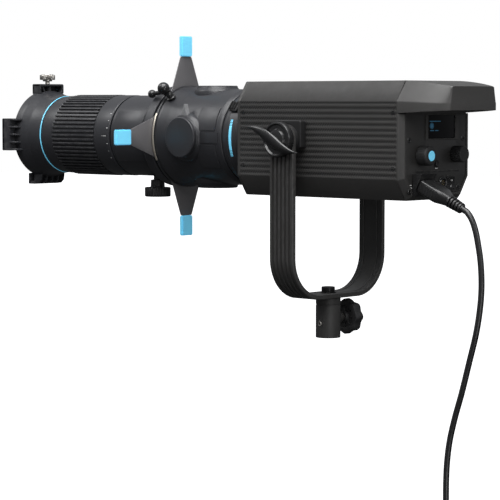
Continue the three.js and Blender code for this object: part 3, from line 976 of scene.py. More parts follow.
def make_lead():
    """The lead from the connector to the plug: it bends between the head and the coil."""
    radius = sizes().cord_diameter / MM / 2
    path = smooth_path(LEAD_ROUTE)[:-1] + coil_path()
    lead = show("mains_lead", tube(path, radius), finish("cable_jacket"), None)
    tie = make_tie()
    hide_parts("mains_cord", "cord_coil")
    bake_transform(lead)
    connector = make_connector()
    plug = make_plug()


def make_tie():
    """A hook-and-loop strap round the top of the coil."""
    coil = Box("cord_coil")
    inner = TIE_HALF - 1
    outline = rounded(rectangle(-TIE_HALF, TIE_HALF, -TIE_HALF, TIE_HALF), 5, bends=4)
    hole = rounded(rectangle(-inner, inner, -inner, inner), 4, bends=4)
    band = slab([outline, hole], -6, 6, "X", 0.3)
    band.transform(Matrix.Translation((coil.x, coil.y, coil.z1 - TIE_HALF)))
    return show("lead_tie", band, finish("soft_black"), "stand_mount")


def plump_ring(along, wide, high, power, steps=40):
    """A ring about +X between an ellipse, at power 2, and a rectangle."""
    ring = []
    for k in range(steps):
        c, s = math.cos(math.tau * k / steps), math.sin(math.tau * k / steps)
        across = wide * math.copysign(abs(c) ** (2 / power), c)
        up = high * math.copysign(abs(s) ** (2 / power), s)
        ring.append((along, across, up))
    return ring


def make_connector():
    """The moulded connector in the inlet, with its ribbed strain relief."""
    body = [(0.5, 12.6, 7.9), (1.5, 13.1, 8.4), (20, 13.1, 8.4), (26, 12.6, 8.2)]
    shoulder = [(31, 10.6, 7.6), (35, 8.4, 6.8), (38, 6.6, 6.3)]
    rings = [plump_ring(along, wide, high, 5.0) for along, wide, high in body]
    rings += [plump_ring(along, wide, high, 3.0) for along, wide, high in shoulder]
    shapes = [loft(rings), turned([(36, 0), (36, 4.6), (58, 4.2), (58, 0)], 32)]
    for rib in range(5):
        start = 37.6 + rib * 4.1
        end = start + 2.6
        outer = 7.2 - rib * 0.25
        profile = [
            (start, 3.6), (start, outer - 0.5), (start + 0.5, outer),
            (end - 0.5, outer), (end, outer - 0.5), (end, 3.6),
        ]
        shapes.append(turned(profile, 32))
    shapes.append(turned([(56.5, 0), (56.5, 4.4), (58, 4.2), (58, 0)], 32))
    for side in (-1, 1):
        for groove in range(4):
            x = 10 + groove * 3.4
            shapes.append(block(x, x + 1.6, side * 13.0 - 0.35, side * 13.0 + 0.35, -5, 5, 0.25))
    start = Vector(LEAD_ROUTE[0]) - CONNECTOR_AXIS * CONNECTOR_LENGTH
    made = moved(merge(*shapes), Matrix.Translation(start) @ Matrix.Rotation(CONNECTOR_DROOP, 4, "Y"))
    piece = show("lead_connector", made, finish("cable_jacket"), "head", 30, 0.3)
    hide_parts("mains_connector")
    return piece


def make_plug():
    """The moulded plug with two flat blades, hanging from the tail."""
    plug = Box("mains_plug")
    x, y, top = plug.x, plug.y, plug.z1
    rings = []
    for along, wide, high in (
        (26, 6.4, 6.4), (28.5, 9.4, 8.0), (32, 11.6, 9.4), (38, 12.3, 9.8),
        (50, 12.3, 9.8), (56, 11.6, 9.4), (59, 10.6, 8.8),
    ):
        rings.append([(x + wide * a, y + high * b, top - along) for a, b in circle(1, 40)])
    shapes = [loft(rings), turned([(0, 0), (0, 4.1), (28, 6.0), (28, 0)], 32, "-Z", (x, y, top))]
    for rib in range(5):
        start = 3 + rib * 4.6
        end = start + 2.6
        outer = 4.7 + rib * 0.42
        profile = [(start, 3.5), (start, outer), (end, outer + 0.15), (end, 3.5)]
        shapes.append(turned(profile, 32, "-Z", (x, y, top)))
    body = show(
        "lead_plug", merge(*shapes), finish("cable_jacket"), "stand_mount", 30, 0.35,
    )
    pair = [
        block(x - 3.2, x + 3.2, y + near, y + near + 1.4, top - 78, top - 58, 0.4)
        for near in (-5.6, 4.2)
    ]
    blades = show("lead_plug_blades", merge(*pair), finish("brass_pin"), "stand_mount")
    blades.parent = body
    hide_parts("mains_plug")
    return body


# Stand socket, yoke and pivots.


KNOB_LOBES = 8
SOCKET_BORE = 8.2
SOCKET_DEPTH = 38
BOLT_HOLE = 4.4


def make_socket():
    """The receiver's barrel with the boss for the knob, the stud's collar and the grub screw."""
    receiver = Box("stand_receiver")
    top, radius = receiver.z1, receiver.x1
    profile = [
        (0, SOCKET_BORE), (0, radius), (top - 9, radius), (top - 9, radius - 0.5), (top - 7.6, radius - 0.5),
        (top - 7.6, radius), (top, radius), (top, BOLT_HOLE), (SOCKET_DEPTH, BOLT_HOLE),
        (SOCKET_DEPTH, SOCKET_BORE),
    ]
    barrel = turned(rounded(profile, 0.5), 96, "Z")
    stud = (0, 0, JOINTS["receiver_knob_turn"]["pos_m"][2] / MM)
    boss = turned([(10, 3.5), (10, 7.5), (19.3, 7.5), (20, 6.8), (20, 3.5)], 48, "Y", stud)
    made = merge(barrel, boss)
    piece = show("socket_barrel", made, finish("housing_coat"), "stand_mount", 34, 0.3)
    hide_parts("stand_receiver")
    collar = turned([(20.3, 3.4), (20.3, 5.0), (24.6, 5.0), (25, 4.6), (25, 3.4)], 40, "Y", stud)
    show("socket_screw_collar", collar, finish("nickel"), "receiver_knob", 34, 0.2)
    grub = Box("receiver_grub_screw")
    profile = [(0, 0), (0, 1.4), (1.0, 1.4), (1.2, 2.4), (0.8, 2.8), (-4.5, 2.8), (-4.5, 0)]
    screw = turned(profile, 32, "-Y", (0, grub.y0 + 0.4, grub.z))
    piece = show("socket_grub_screw", screw, finish("nickel"), "stand_mount")
    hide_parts("receiver_grub_screw")


def make_socket_knob():
    """Eight soft lobes round a dished inner face, on a plain stud."""
    height = Box("receiver_lock_knob").z
    rings = []
    for along, radius, depth in (
        (30.2, 12.6, 0), (28.6, 13.2, 0), (28.0, 15.4, 0.5), (28.6, 19.6, 1.4), (31, 21.3, 2.2),
        (38, 21.5, 2.4), (41, 20.3, 2.2), (42, 18.2, 1.6), (42, 9, 0), (41.4, 8.4, 0),
    ):
        rings.append([(along, a, b) for a, b in fluted(radius, depth, KNOB_LOBES, 14)])
    rim = moved(loft(rings), axis_matrix("Y"))
    floor = turned([(31.6, 0), (31.6, 12.9), (40.5, 12.9), (40.5, 0)], 64, "Y")
    hub = turned([(26, 0), (26, 5.6), (28, 7.0), (32, 7.6), (32, 0)], 48, "Y")
    spokes = [
        moved(block(7, 12.8, 28.6, 32, -0.7, 0.7, 0.3), Matrix.Rotation(math.tau * k / KNOB_LOBES, 4, "Y"))
        for k in range(KNOB_LOBES)
    ]
    whole = merge(rim, floor, hub, *spokes)
    whole.transform(Matrix.Translation((0, 0, height)))
    piece = show("socket_lock_knob", whole, finish("soft_black"), "receiver_knob", 34)
    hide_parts("receiver_lock_knob")
    stud = rod(9.2, 30, 3, "Y", (0, 0, height))
    show("socket_stud", stud, finish("nickel"), "receiver_knob")


YOKE_THICK = 5.5
YOKE_BEND = 50
YOKE_GROOVES = 5
GROOVE_DEPTH = 1.8


def yoke_line(offset, bends=20):
    """The yoke's outline in (Y, Z) at a distance inside its outer face, from tip to tip."""
    half = YOKE.y1 - offset
    base = YOKE.z0 + offset
    radius = YOKE_BEND - offset
    points = [(-half, AXIS_Z)]
    for centre, start in ((radius - half, math.pi), (half - radius, 1.5 * math.pi)):
        for k in range(bends + 1):
            angle = start + QUARTER * k / bends
            points.append((centre + radius * math.cos(angle), base + radius + radius * math.sin(angle)))
    points.append((half, AXIS_Z))
    return points


def yoke_section():
    """The strap's section in (X, depth): grooves outside, a shallow channel on each side inside."""
    half, thick = YOKE.x1, YOKE_THICK
    section = [(-half + 0.6, thick), (-half, thick - 0.6), (-half, 0.8), (-half + 0.8, 0)]
    pitch = 2 * half * 0.86 / YOKE_GROOVES
    for k in range(YOKE_GROOVES):
        centre = (k - (YOKE_GROOVES - 1) / 2) * pitch
        section += [
            (centre - 1.8, 0), (centre - 1.3, GROOVE_DEPTH), (centre + 1.3, GROOVE_DEPTH), (centre + 1.8, 0),
        ]
    section += [(half - 0.8, 0), (half, 0.8), (half, thick - 0.6), (half - 0.6, thick)]
    channel = [(0.62, thick), (0.60, thick - 0.7), (0.52, thick - 0.7), (0.50, thick)]
    section += [(half * part, depth) for part, depth in channel]
    section += [(-half * part, depth) for part, depth in reversed(channel)]
    return section


def make_yoke():
    """Strap with five grooves along its outer face and rounded tips at the pivots."""
    half = YOKE.x1
    thick = YOKE_THICK
    rings = [
        [(x, a[0] + (b[0] - a[0]) * d / thick, a[1] + (b[1] - a[1]) * d / thick) for x, d in yoke_section()]
        for a, b in zip(yoke_line(0), yoke_line(thick))
    ]
    strap = loft(rings)
    tips = []
    for side in (-1, 1):
        low, high = sorted((side * YOKE.y1, side * (YOKE.y1 - thick)))
        turns = [math.pi * k / 32 for k in range(33)]
        arc = [(half * math.cos(t), AXIS_Z - 0.2 + half * math.sin(t)) for t in turns]
        tips.append(slab([arc], low, high, "Y", 0.5))
    piece = show(
        "yoke_strap", merge(strap, *tips), finish("housing_coat"), "stand_mount", 28,
    )
    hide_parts("yoke")
    bolt = Box("yoke_bolt")
    seat = YOKE.z0 + thick + 0.3
    profile = [(seat, 0), (seat, 8), (bolt.z1, 8), (bolt.z1, 3.4), (bolt.z1 - 3.4, 3.4), (bolt.z1 - 3.4, 0)]
    head = turned(rounded(profile, 0.7, closed=False), 64, "Z")
    washer = turned([(seat - 0.2, 4), (seat - 0.2, 9.4), (seat + 0.9, 9.4), (seat + 0.9, 4)], 64, "Z")
    piece = show("yoke_cap_screw", head, finish("black_steel"), "stand_mount")
    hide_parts("yoke_bolt")
    show("yoke_washer", washer, finish("black_steel"), "stand_mount", 30, 0.15)


FRICTION_WASHER = 5


def make_pivots():
    """Pivot blocks, a friction washer each side and the far bolt."""
    outline = rounded(rectangle(-20, 20, AXIS_Z - 10, AXIS_Z + 22), 3, bends=5)
    for name, axis in (("near", "-Y"), ("far", "Y")):
        box = Box(f"pivot_block_{name}")
        if name == "near":
            low, high = box.y0 + FRICTION_WASHER, box.y1
            seat = low
        else:
            low, high = box.y0, box.y1 - FRICTION_WASHER
            seat = high
        base = slab([outline], low, high, "Y", 0.8)
        profile = [(0, 4.8), (0, 17.2), (4.4, 17.2), (FRICTION_WASHER, 16.6), (FRICTION_WASHER, 4.8)]
        washer = turned(profile, 72, axis, (0, seat, AXIS_Z))
        made = merge(base, washer)
        piece = show(f"pivot_boss_{name}", made, finish("black_moulding"), "head", 34)
        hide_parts(f"pivot_block_{name}")
    bolt = Box("far_pivot_bolt")
    face = YOKE.y1 + 0.3
    high = bolt.y1 - face
    profile = [(0, 0), (0, 12), (high, 11), (high, 5), (high - 3, 5), (high - 3, 0)]
    cap = turned(rounded(profile, 1.0, closed=False), 72, "Y", (0, face, AXIS_Z))
    shank = rod(-15, 0.5, 4.1, "Y", (0, face, AXIS_Z))
    piece = show("far_pivot_screw", merge(cap, shank), finish("black_steel"), "head")
    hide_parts("far_pivot_bolt")


WING_STEPS = 36


def make_tilt_lever():
    """A round boss with a swept two-ended wing across its face."""
    face = -(YOKE.y1 + 0.3)
    profile = [
        (0, 0), (0, 20.0), (0.8, 20.6), (7.4, 20.6), (8.6, 19.9), (9.0, 18.4), (7.4, 16.6), (7.4, 12.4),
        (9.8, 11.0), (10.6, 8.0), (10.8, 0),
    ]
    boss = turned(profile, 96, "-Y", (0, face, AXIS_Z))
    base = face - 7.0
    rings = []
    for k in range(WING_STEPS + 1):
        t = k / WING_STEPS
        x = -46 + 80 * t
        centre = 14.5 * math.cos(math.pi * t)
        spread = 0.5 + 8.5 * math.sin(math.pi * t) ** 1.3
        rise = 3.2 + 3.4 * math.sin(math.pi * min(1, t * 1.05)) ** 0.8
        rings.append([
            (x + 0.35 * spread * s, base - rise * (1 + s * 0.85) * 0.62, AXIS_Z + centre + spread * c * 0.86)
            for c, s in circle(1, 16)
        ])
    made = merge(boss, loft(rings))
    piece = show("tilt_lever_knob", made, finish("gloss_black"), "tilt_lever", 40)
    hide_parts("tilt_lock_lever")
    stud = rod(face - 1, face + 16, 4.1, "Y", (0, 0, AXIS_Z))
    show("tilt_lever_stud", stud, finish("nickel"), "tilt_lever")


# Lamp housing.

CUT_Y, CUT_Z = 15.25, 23.3
BEZEL_INSET = 4.8
WALL = 2.4
BAND_DEPTH = 0.28
BAND_STEPS = 6


def side_half_height():
    """Half the height of a flat side, between the housing's cut edges."""
    return (SHELL.z1 - SHELL.z0) / 2 - CUT_Z


def housing_outline(inset=0.0):
    """The housing's section in (Y, Z), anticlockwise from the low corner of the +Y side."""
    wide = SHELL.y1 - inset
    high = (SHELL.z1 - SHELL.z0) / 2 - inset
    y = SHELL.y1 - CUT_Y - inset * 0.7
    z = high + inset - CUT_Z - inset * 0.5
    points = [(wide, -z), (wide, z), (y, high), (-y, high), (-wide, z), (-wide, -z), (-y, -high), (y, -high)]
    return [(a, AXIS_Z + b) for a, b in points]


def banded_outline():
    """The section with its raised bands, softly rounded."""
    half = SHELL.y1
    base = side_half_height()
    bands = sizes().side_bands
    pitch = 2 * base / bands
    side = []
    for band in range(bands):
        for step in range(BAND_STEPS):
            part = step / BAND_STEPS
            wave = BAND_DEPTH / 2 * (1 - math.cos(math.tau * (part - 0.25)))
            side.append((half - wave, -base + (band + part) * pitch))
    side.append((half - BAND_DEPTH / 2, base))
    corners = [(a, b - AXIS_Z) for a, b in housing_outline()]
    left = [(-a, b) for a, b in reversed(side)]
    points = side + [corners[2], corners[3]] + left + [corners[6], corners[7]]
    return [(a, AXIS_Z + b) for a, b in points]


def make_shell():
    """The extruded housing with ribbed, perforated sides."""
    rim = banded_outline()
    rings = [[(x, a, b) for a, b in rim] for x in (SHELL.x0, SHELL.x1)]
    skin = loft(rings, capped=False)
    inner = [[(x, a, b) for a, b in housing_outline(WALL)] for x in (SHELL.x1, SHELL.x0)]
    lining = loft(inner, capped=False)
    whole = merge(skin, lining)
    open_edges = [edge for edge in whole.edges if edge.is_boundary]
    for end in (SHELL.x0, SHELL.x1):
        loop = [edge for edge in open_edges if abs(edge.verts[0].co.x - end) < 0.01]
        bmesh.ops.triangle_fill(whole, use_beauty=True, use_dissolve=False, edges=loop)
    whole.faces.ensure_lookup_table()
    for face in whole.faces:
        centre = face.calc_center_median()
        outward = abs(centre.y) > SHELL.y1 - 2.2 and abs(face.normal.x) < 0.5
        face.material_index = 1 if outward and abs(centre.z - AXIS_Z) < side_half_height() else 0
    coats = [finish("housing_coat"), finish("perforated_side")]
    piece = show("housing_shell", whole, coats, "head", 40, 0.5)
    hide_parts("head_shell")


def make_front_plate():
    """Plate that closes the housing's front round the light's way out."""
    plate = Box("front_plate")
    outline = rounded(housing_outline(), 1.2, bends=3)
    hole = circle(48, 96, (0, AXIS_Z))
    made = slab([outline, hole], plate.x0, plate.x1, "X", 0.9, 3)
    piece = show("housing_front", made, finish("housing_coat"), "head")
    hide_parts("front_plate")


def make_bezel():
    """Rear rim: a sloping band from the housing's section to a smaller one."""
    bezel = Box("rear_bezel")
    top = bezel.z1 - HOOD_SKIRT - 0.2

    def clipped(inset):
        """The section with its top cut level under the hood."""
        outline = housing_outline(inset)
        wide = outline[0][0]
        return [outline[0], (wide, top), (-wide, top), outline[5], outline[6], outline[7]]

    outer = clipped(0)
    inner = [(a, min(b, top - 2)) for a, b in clipped(8)]
    stations = [
        (bezel.x0, inner), (bezel.x0, outer), (bezel.x0 + 1.2, outer),
        (bezel.x1 - 0.4, clipped(BEZEL_INSET - 0.2)), (bezel.x1, clipped(BEZEL_INSET + 0.4)),
        (bezel.x1, inner),
    ]
    rings = [[(x, a, b) for a, b in rounded(outline, 1.0)] for x, outline in stations]
    made = loft(rings, capped=False)
    count = len(rings[0])
    first, last = made.verts[:][:count], made.verts[:][-count:]
    for i in range(count):
        j = (i + 1) % count
        made.faces.new((first[i], first[j], last[j], last[i]))
    piece = show("housing_rear_rim", made, finish("housing_coat"), "head", 28)
    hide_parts("rear_bezel")


HOOD_TAIL = 41.0
HOOD_DROP = 6.6
HOOD_SKIRT = 3.2


def hood_section(part):
    """Half-width, top, crease and lean at a part of the hood's length."""
    keep = max(0.0, 1 - part**2.4) ** 0.74
    half = HOOD_TAIL + (SHELL.y1 - HOOD_TAIL) * keep
    peak = SHELL.z1 - HOOD_DROP * part**1.7
    crease = AXIS_Z + side_half_height() - 2 * part
    return half, peak, crease, 3 + (CUT_Y - 3) * keep


def hood_rings(inset, start, rear):
    """Sections of the hood, open below, at a distance inside its skin."""
    hood = Box("hood")
    steps = 30
    rings = []
    for k in range(steps + 1):
        x = start + (rear - start) * math.sin(QUARTER * k / steps)
        part = min(1.0, (x - hood.x0) / (hood.x1 - hood.x0))
        half, peak, fold, slope = hood_section(part)
        low = hood.z0 - HOOD_SKIRT * (1 - part)
        half -= inset
        peak -= inset
        corner = min(2.0, slope * 0.4)
        right = [
            (half, low), (half, fold - 1.0), (half - 0.15, fold), (half - 0.6, fold + 1.0),
            (half - slope, peak - corner), (half - slope - 1.2, peak - 0.3), (half - slope - 3.0, peak),
        ]
        rings.append([(x, a, b) for a, b in right] + [(x, -a, b) for a, b in reversed(right)])
    return rings


def make_hood():
    """Overhang above the panel: creased along each side, narrowing to a flat tail and open below."""
    hood = Box("hood")
    outer = hood_rings(0, hood.x0, hood.x1)
    inner = hood_rings(3, hood.x0 + 8, hood.x1 - 3.2)
    made = bmesh.new()
    skins = []
    for rings in (outer, inner):
        loops = [[made.verts.new(point) for point in ring] for ring in rings]
        count = len(loops[0])
        for first, second in zip(loops, loops[1:]):
            for i in range(count - 1):
                made.faces.new((first[i], first[i + 1], second[i + 1], second[i]))
        for loop in (loops[0], loops[-1]):
            made.faces.new(loop)
        skins.append(loops)
    rims = [[loop[0] for loop in loops] + [loop[-1] for loop in reversed(loops)] for loops in skins]
    for i in range(len(rims[0])):
        j = (i + 1) % len(rims[0])
        made.faces.new((rims[0][i], rims[0][j], rims[1][j], rims[1][i]))
    piece = show("hood_cover", made, finish("hood_coat"), "head", 30, 1.3, 4)
    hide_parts("hood")


# Control panel.


def make_panel():
    """The panel with its window frame, ledges with painted shadow lines and the parts set into it."""
    panel = Box("rear_panel")
    face = panel.x1
    window = Box("display_window")
    outline = housing_outline(8.3)
    wide = outline[0][0]
    rim = [outline[0], (wide, panel.z1), (-wide, panel.z1), outline[5], outline[6], outline[7]]
    hole = rounded(rectangle(window.y0 - 0.3, window.y1 + 0.3, window.z0 - 0.3, window.z1 + 0.3), 0.8)
    made = slab([rounded(rim, 1.5), hole], panel.x0, face, "X", 0.25)
    piece = show("control_panel", made, finish("panel_coat"), "head")
    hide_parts("rear_panel")

    frame_edge = rounded(rectangle(window.y0 - 5, window.y1 + 6, window.z0 - 1.6, window.z1 + 1), 1.2)
    surround = slab([frame_edge, hole], face, face + 0.9, "X", 0.3)
    show("window_surround", surround, finish("hood_coat"), "head")
    edge = rounded(rectangle(window.y0, window.y1, window.z0, window.z1), 0.8)
    pane = slab([edge], window.x0, window.x1 - 0.2, "X", 0.15)
    piece = show("display_pane", pane, finish("window_glass"), "head")
    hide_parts("display_window")
    make_display_marks(window)
    make_panel_lines(panel)


def make_display_marks(window):
    """Faint plain bars and a ring behind the window, as a meter's face has."""
    low = window.x1 - 0.18
    high = low + 0.12
    left = window.y0 + 3
    dial = (0, left + 4, window.z0 + 14)
    marks = [
        block(low, high, left + start, left + end, window.z0 + base, window.z0 + base + 1)
        for start, end, base in ((0, 20, 18.6), (1, 8, 8.2), (10, 16, 8.2))
    ]
    marks += [
        turned([(low, 0), (low, 2.6), (high, 2.6), (high, 0)], 40, "X", dial),
        turned([(low, 3.1), (low, 3.6), (high, 3.6), (high, 3.1)], 40, "X", dial),
    ]
    show("display_marks", merge(*marks), finish("lit_glyph"), "head")


def make_panel_lines(panel):
    """Raised ledges above and beside the sockets, thin black strips under them as painted shadow lines, and
    short printed ticks.
    """
    face = panel.x1
    ledges, grooves = [], []
    for y0, y1, top, high, shadow_height, reach, edge in (
        (-38, 42, -33.6, 0.9, 1.5, 1.1, 0.3),
        (-36, -9, -38.0, 0.8, 0.8, 0.7, 0.25),
        (19, 34, -39.9, 0.8, 0.8, 0.7, 0.25),
    ):
        foot = AXIS_Z + top - high
        ledges.append(block(face - 0.1, face + reach, y0, y1, foot, AXIS_Z + top, edge))
        # Painted shadow: a thin black strip on the panel face under each ledge.
        grooves.append(block(face - 0.1, face + 0.12, y0, y1, foot - shadow_height, foot))
    show("panel_ledges", merge(*ledges), finish("hood_coat"), "head")
    show("panel_ledge_shadows", merge(*grooves), finish("black_moulding"), "head")
    ticks = [
        block(face, face + 0.1, y, y + 5, AXIS_Z + z, AXIS_Z + z + 0.9)
        for y, z in ((-2.5, -32), (-50, -50), (-49, -53))
    ]
    show("panel_ticks", merge(*ticks), finish("white_print"), "head")


def screw_head(radius, axis, at):
    """A flat countersunk head with a round recess."""
    profile = [
        (-1.2, 0), (-1.2, radius), (0.25, radius), (0.5, radius - 0.4), (0.5, 1.4), (0.1, 1.2), (0.1, 0),
    ]
    return turned(profile, 32, axis, at)


def make_screws():
    """Panel screws at the back, and two pairs on each side of the housing, with near-black discs in their
    recesses as painted shade.
    """
    face = Box("rear_panel").x1
    back = [(face, y, AXIS_Z + z) for y, z in ((-49, 0.7), (49, 1.8), (40, -54), (-48, -57))]
    sides = [
        (axis, (x, sign * (SHELL.y1 - 0.5), AXIS_Z + z))
        for sign, axis in ((-1, "-Y"), (1, "Y"))
        for x in (SHELL.x0 + 4.5, SHELL.x1 - 5)
        for z in (-31, 31)
    ]
    heads = [screw_head(3.2, "X", at) for at in back] + [screw_head(3.0, axis, at) for axis, at in sides]
    show("housing_screws", merge(*heads), finish("gloss_black"), "head")
    # Painted shade: near-black discs in the screws' recesses, where the shade inside the sockets falls.
    socket_shades = [rod(0.3, 0.42, 1.1, "X", at, 0.05, 6) for at in back]
    socket_shades += [turned([(0, 0), (0, 1.0), (0.42, 1.0), (0.42, 0)], 6, axis, at) for axis, at in sides]
    show("screw_socket_shades", merge(*socket_shades), finish("window_glass"), "head")


def panel_face():
    """The plane that the controls stand on."""
    return Box("rear_panel").x1 + 0.4


def make_dimmer():
    """The left dial, a smooth drum with a blue cap."""
    dimmer = Box("dimmer_knob")
    face = panel_face()
    radius = dimmer.radius
    length = dimmer.x1 - face
    profile = [
        (0, 0), (0, radius - 0.5), (1.2, radius), (length - 1.8, radius - 0.25), (length, radius - 2.2),
        (length, 0),
    ]
    knob = turned(rounded(profile, 1.2, closed=False), 96, "X", (face, dimmer.y, dimmer.z))
    stem = rod(dimmer.x0, face + 1, 3, "X", (0, dimmer.y, dimmer.z))
    piece = show("dimmer_dial", merge(knob, stem), finish("soft_black"), "dimmer", 34)
    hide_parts("dimmer_knob")
    profile = [(-0.4, 0), (-0.4, 6.0), (0.02, 5.7), (0.05, 0)]
    cap = turned(profile, 64, "X", (face + length, dimmer.y, dimmer.z))
    show("dimmer_cap", cap, finish("accent_plastic"), "dimmer")


def make_selector():
    """The right dial, ridged all round."""
    selector = Box("selector_knob")
    face = panel_face()
    at = (0, selector.y, selector.z)
    body = knurled(selector.radius, 0.7, 26, face, selector.x1 - 1.5, "X", at, 0.5)
    profile = [(-2.0, 0), (-2.0, 9.0), (-0.5, 9.0), (0, 8.5), (0, 7.4), (-0.5, 7.0), (-0.5, 0)]
    crown = turned(profile, 72, "X", (selector.x1, selector.y, selector.z))
    stem = rod(selector.x0, face + 1, 3, "X", at)
    made = merge(body, crown, stem)
    piece = show("selector_dial", made, finish("soft_black"), "selector", 34)
    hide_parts("selector_knob")


def make_menu_button():
    """The small dished button between the dials, in its collar."""
    button = Box("menu_button")
    top = button.x1
    profile = [
        (button.x0, 0), (button.x0, 3.3), (top - 0.5, 3.3), (top, 2.8), (top - 0.5, 1.4), (top - 0.6, 0),
    ]
    cap = turned(profile, 48, "X", (0, button.y, button.z))
    piece = show("menu_push_button", cap, finish("black_moulding"), "menu")
    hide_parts("menu_button")
    profile = [(0, 3.6), (0, 4.7), (0.7, 4.5), (0.7, 3.6)]
    collar = turned(profile, 48, "X", (panel_face() - 0.3, button.y, button.z))
    show("button_surround", collar, finish("black_moulding"), "head", 30, 0.1)


def make_power_switch():
    """The rocker with its on and off marks, and the rim round it."""
    rocker = Box("power_rocker")
    face = panel_face()
    h = rocker.radius
    outline = [
        (face - 7, rocker.z - h), (face + 0.8, rocker.z - h), (face + 0.3, rocker.z),
        (face + 2.2, rocker.z + h), (face - 7, rocker.z + h),
    ]
    made = slab([outline], rocker.y0, rocker.y1, "Y", 0.3)
    piece = show("power_switch_rocker", made, finish("gloss_black"), "power_switch")
    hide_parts("power_rocker")
    lean = Matrix.Translation((face + 1.4, rocker.y, rocker.z + 3.6)) @ Matrix.Rotation(-0.3, 4, "Y")
    marks = merge(
        block(face + 0.55, face + 0.75, rocker.y - 0.4, rocker.y + 0.4, rocker.z - 4.6, rocker.z - 2.4),
        moved(turned([(0, 1.1), (0, 1.6), (0.25, 1.6), (0.25, 1.1)], 32), lean),
    )
    show("switch_marks", marks, finish("white_print"), "power_switch")
    edge = rounded(rectangle(rocker.y0 - 1.6, rocker.y1 + 1.6, rocker.z0 - 1.6, rocker.z1 + 1.6), 1)
    hole = rectangle(rocker.y0 - 0.3, rocker.y1 + 0.3, rocker.z0 - 0.8, rocker.z1 + 0.8)
    rim = slab([edge, hole], face - 0.3, face + 0.6, "X", 0.2)
    show("switch_rim", rim, finish("black_moulding"), "head")


def make_control_port():
    """The round control socket with its ring of pins."""
    port = Box("control_socket")
    face = panel_face()
    profile = [
        (face - 0.3, 4.1), (face - 0.3, 8.0), (face + 0.3, 8.0), (face + 0.8, 7.4), (face + 0.8, 6.2),
        (port.x1, 5.7), (port.x1, 4.8), (port.x1 - 0.6, 4.1),
    ]
    ring = turned(profile, 56, "X", (0, port.y, port.z))
    piece = show("control_port", ring, finish("gloss_black"), "head", 30, 0.1)
    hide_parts("control_socket")
    floor = rod(face - 2.5, face - 0.4, 4.6, "X", (0, port.y, port.z), 0.1)
    show("control_port_floor", floor, finish("soft_black"), "head")
    pins = [
        rod(face - 1, face + 0.6, 0.45, "X", (0, a, b), 0.1, 12)
        for a, b in circle(2.2, 5, (port.y, port.z))
    ]
    show("control_port_pins", merge(*pins), finish("brass_pin"), "head")


def make_inlet():
    """The mains inlet's wedge-shaped housing."""
    inlet = Box("mains_inlet")
    outline = [(inlet.x0, inlet.z0), (inlet.x0 + 0.6, inlet.z0), (inlet.x1, inlet.z1), (inlet.x0, inlet.z1)]
    shell = slab([outline], inlet.y0, inlet.y1, "Y", 0.25)
    piece = show("inlet_housing", shell, finish("black_moulding"), "head")
    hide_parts("mains_inlet")


# Mount ring and projection housing.


def make_mount_ring():
    """The collar that joins the attachment to the lamp, with its blue index marks."""
    ring = Box("mount_ring")
    x0, x1 = ring.x0, ring.x1
    profile = rounded(
        [(x0, 50.4), (x0, 54.8), (x0 + 4, 56.8), (x0 + 9.5, 57.2), (x0 + 10.5, 58.6), (x0 + 24.5, 58.6),
         (x0 + 25.5, 57.2), (x1 - 3, 57.2), (x1 - 2.4, 55.5), (x1, 55.5), (x1, 50.4)],
        0.7,
    )
    piece = show(
        "mount_collar", turned(profile, 160, "X", BEAM), finish("barrel_satin"), "head", 34,
    )
    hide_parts("mount_ring")
    marks = []
    for centre, span in [(0, 14.5)] + [(side * (15.6 + 1.9 * k), 0.6) for side in (-1, 1) for k in range(4)]:
        band = arc_band(58.3, 58.75, math.radians(span), math.pi + math.radians(centre))
        marks.append(slab([band], x0 + 14.6, x0 + 18.6, "X", 0.06, 1))
    show("index_mark", merge(*marks), finish("accent_plastic"), "head")


LATCH_TURN = math.radians(52)


def make_latch():
    """The mount's release: a small slide with three finger ridges."""
    ridges = [
        block(-111.5 + 3.4 * k, -110 + 3.4 * k, -5.4, 5.4, AXIS_Z + 61.6, AXIS_Z + 65.6 - 0.8 * k, 0.5)
        for k in range(3)
    ]
    slide = merge(block(-113, -100, -6.6, 6.6, AXIS_Z + 59.2, AXIS_Z + 62.2, 0.8), *ridges)
    made = moved(slide, about_beam(LATCH_TURN))
    piece = show("mount_release", made, finish("black_moulding"), "latch")
    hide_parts("mount_latch")


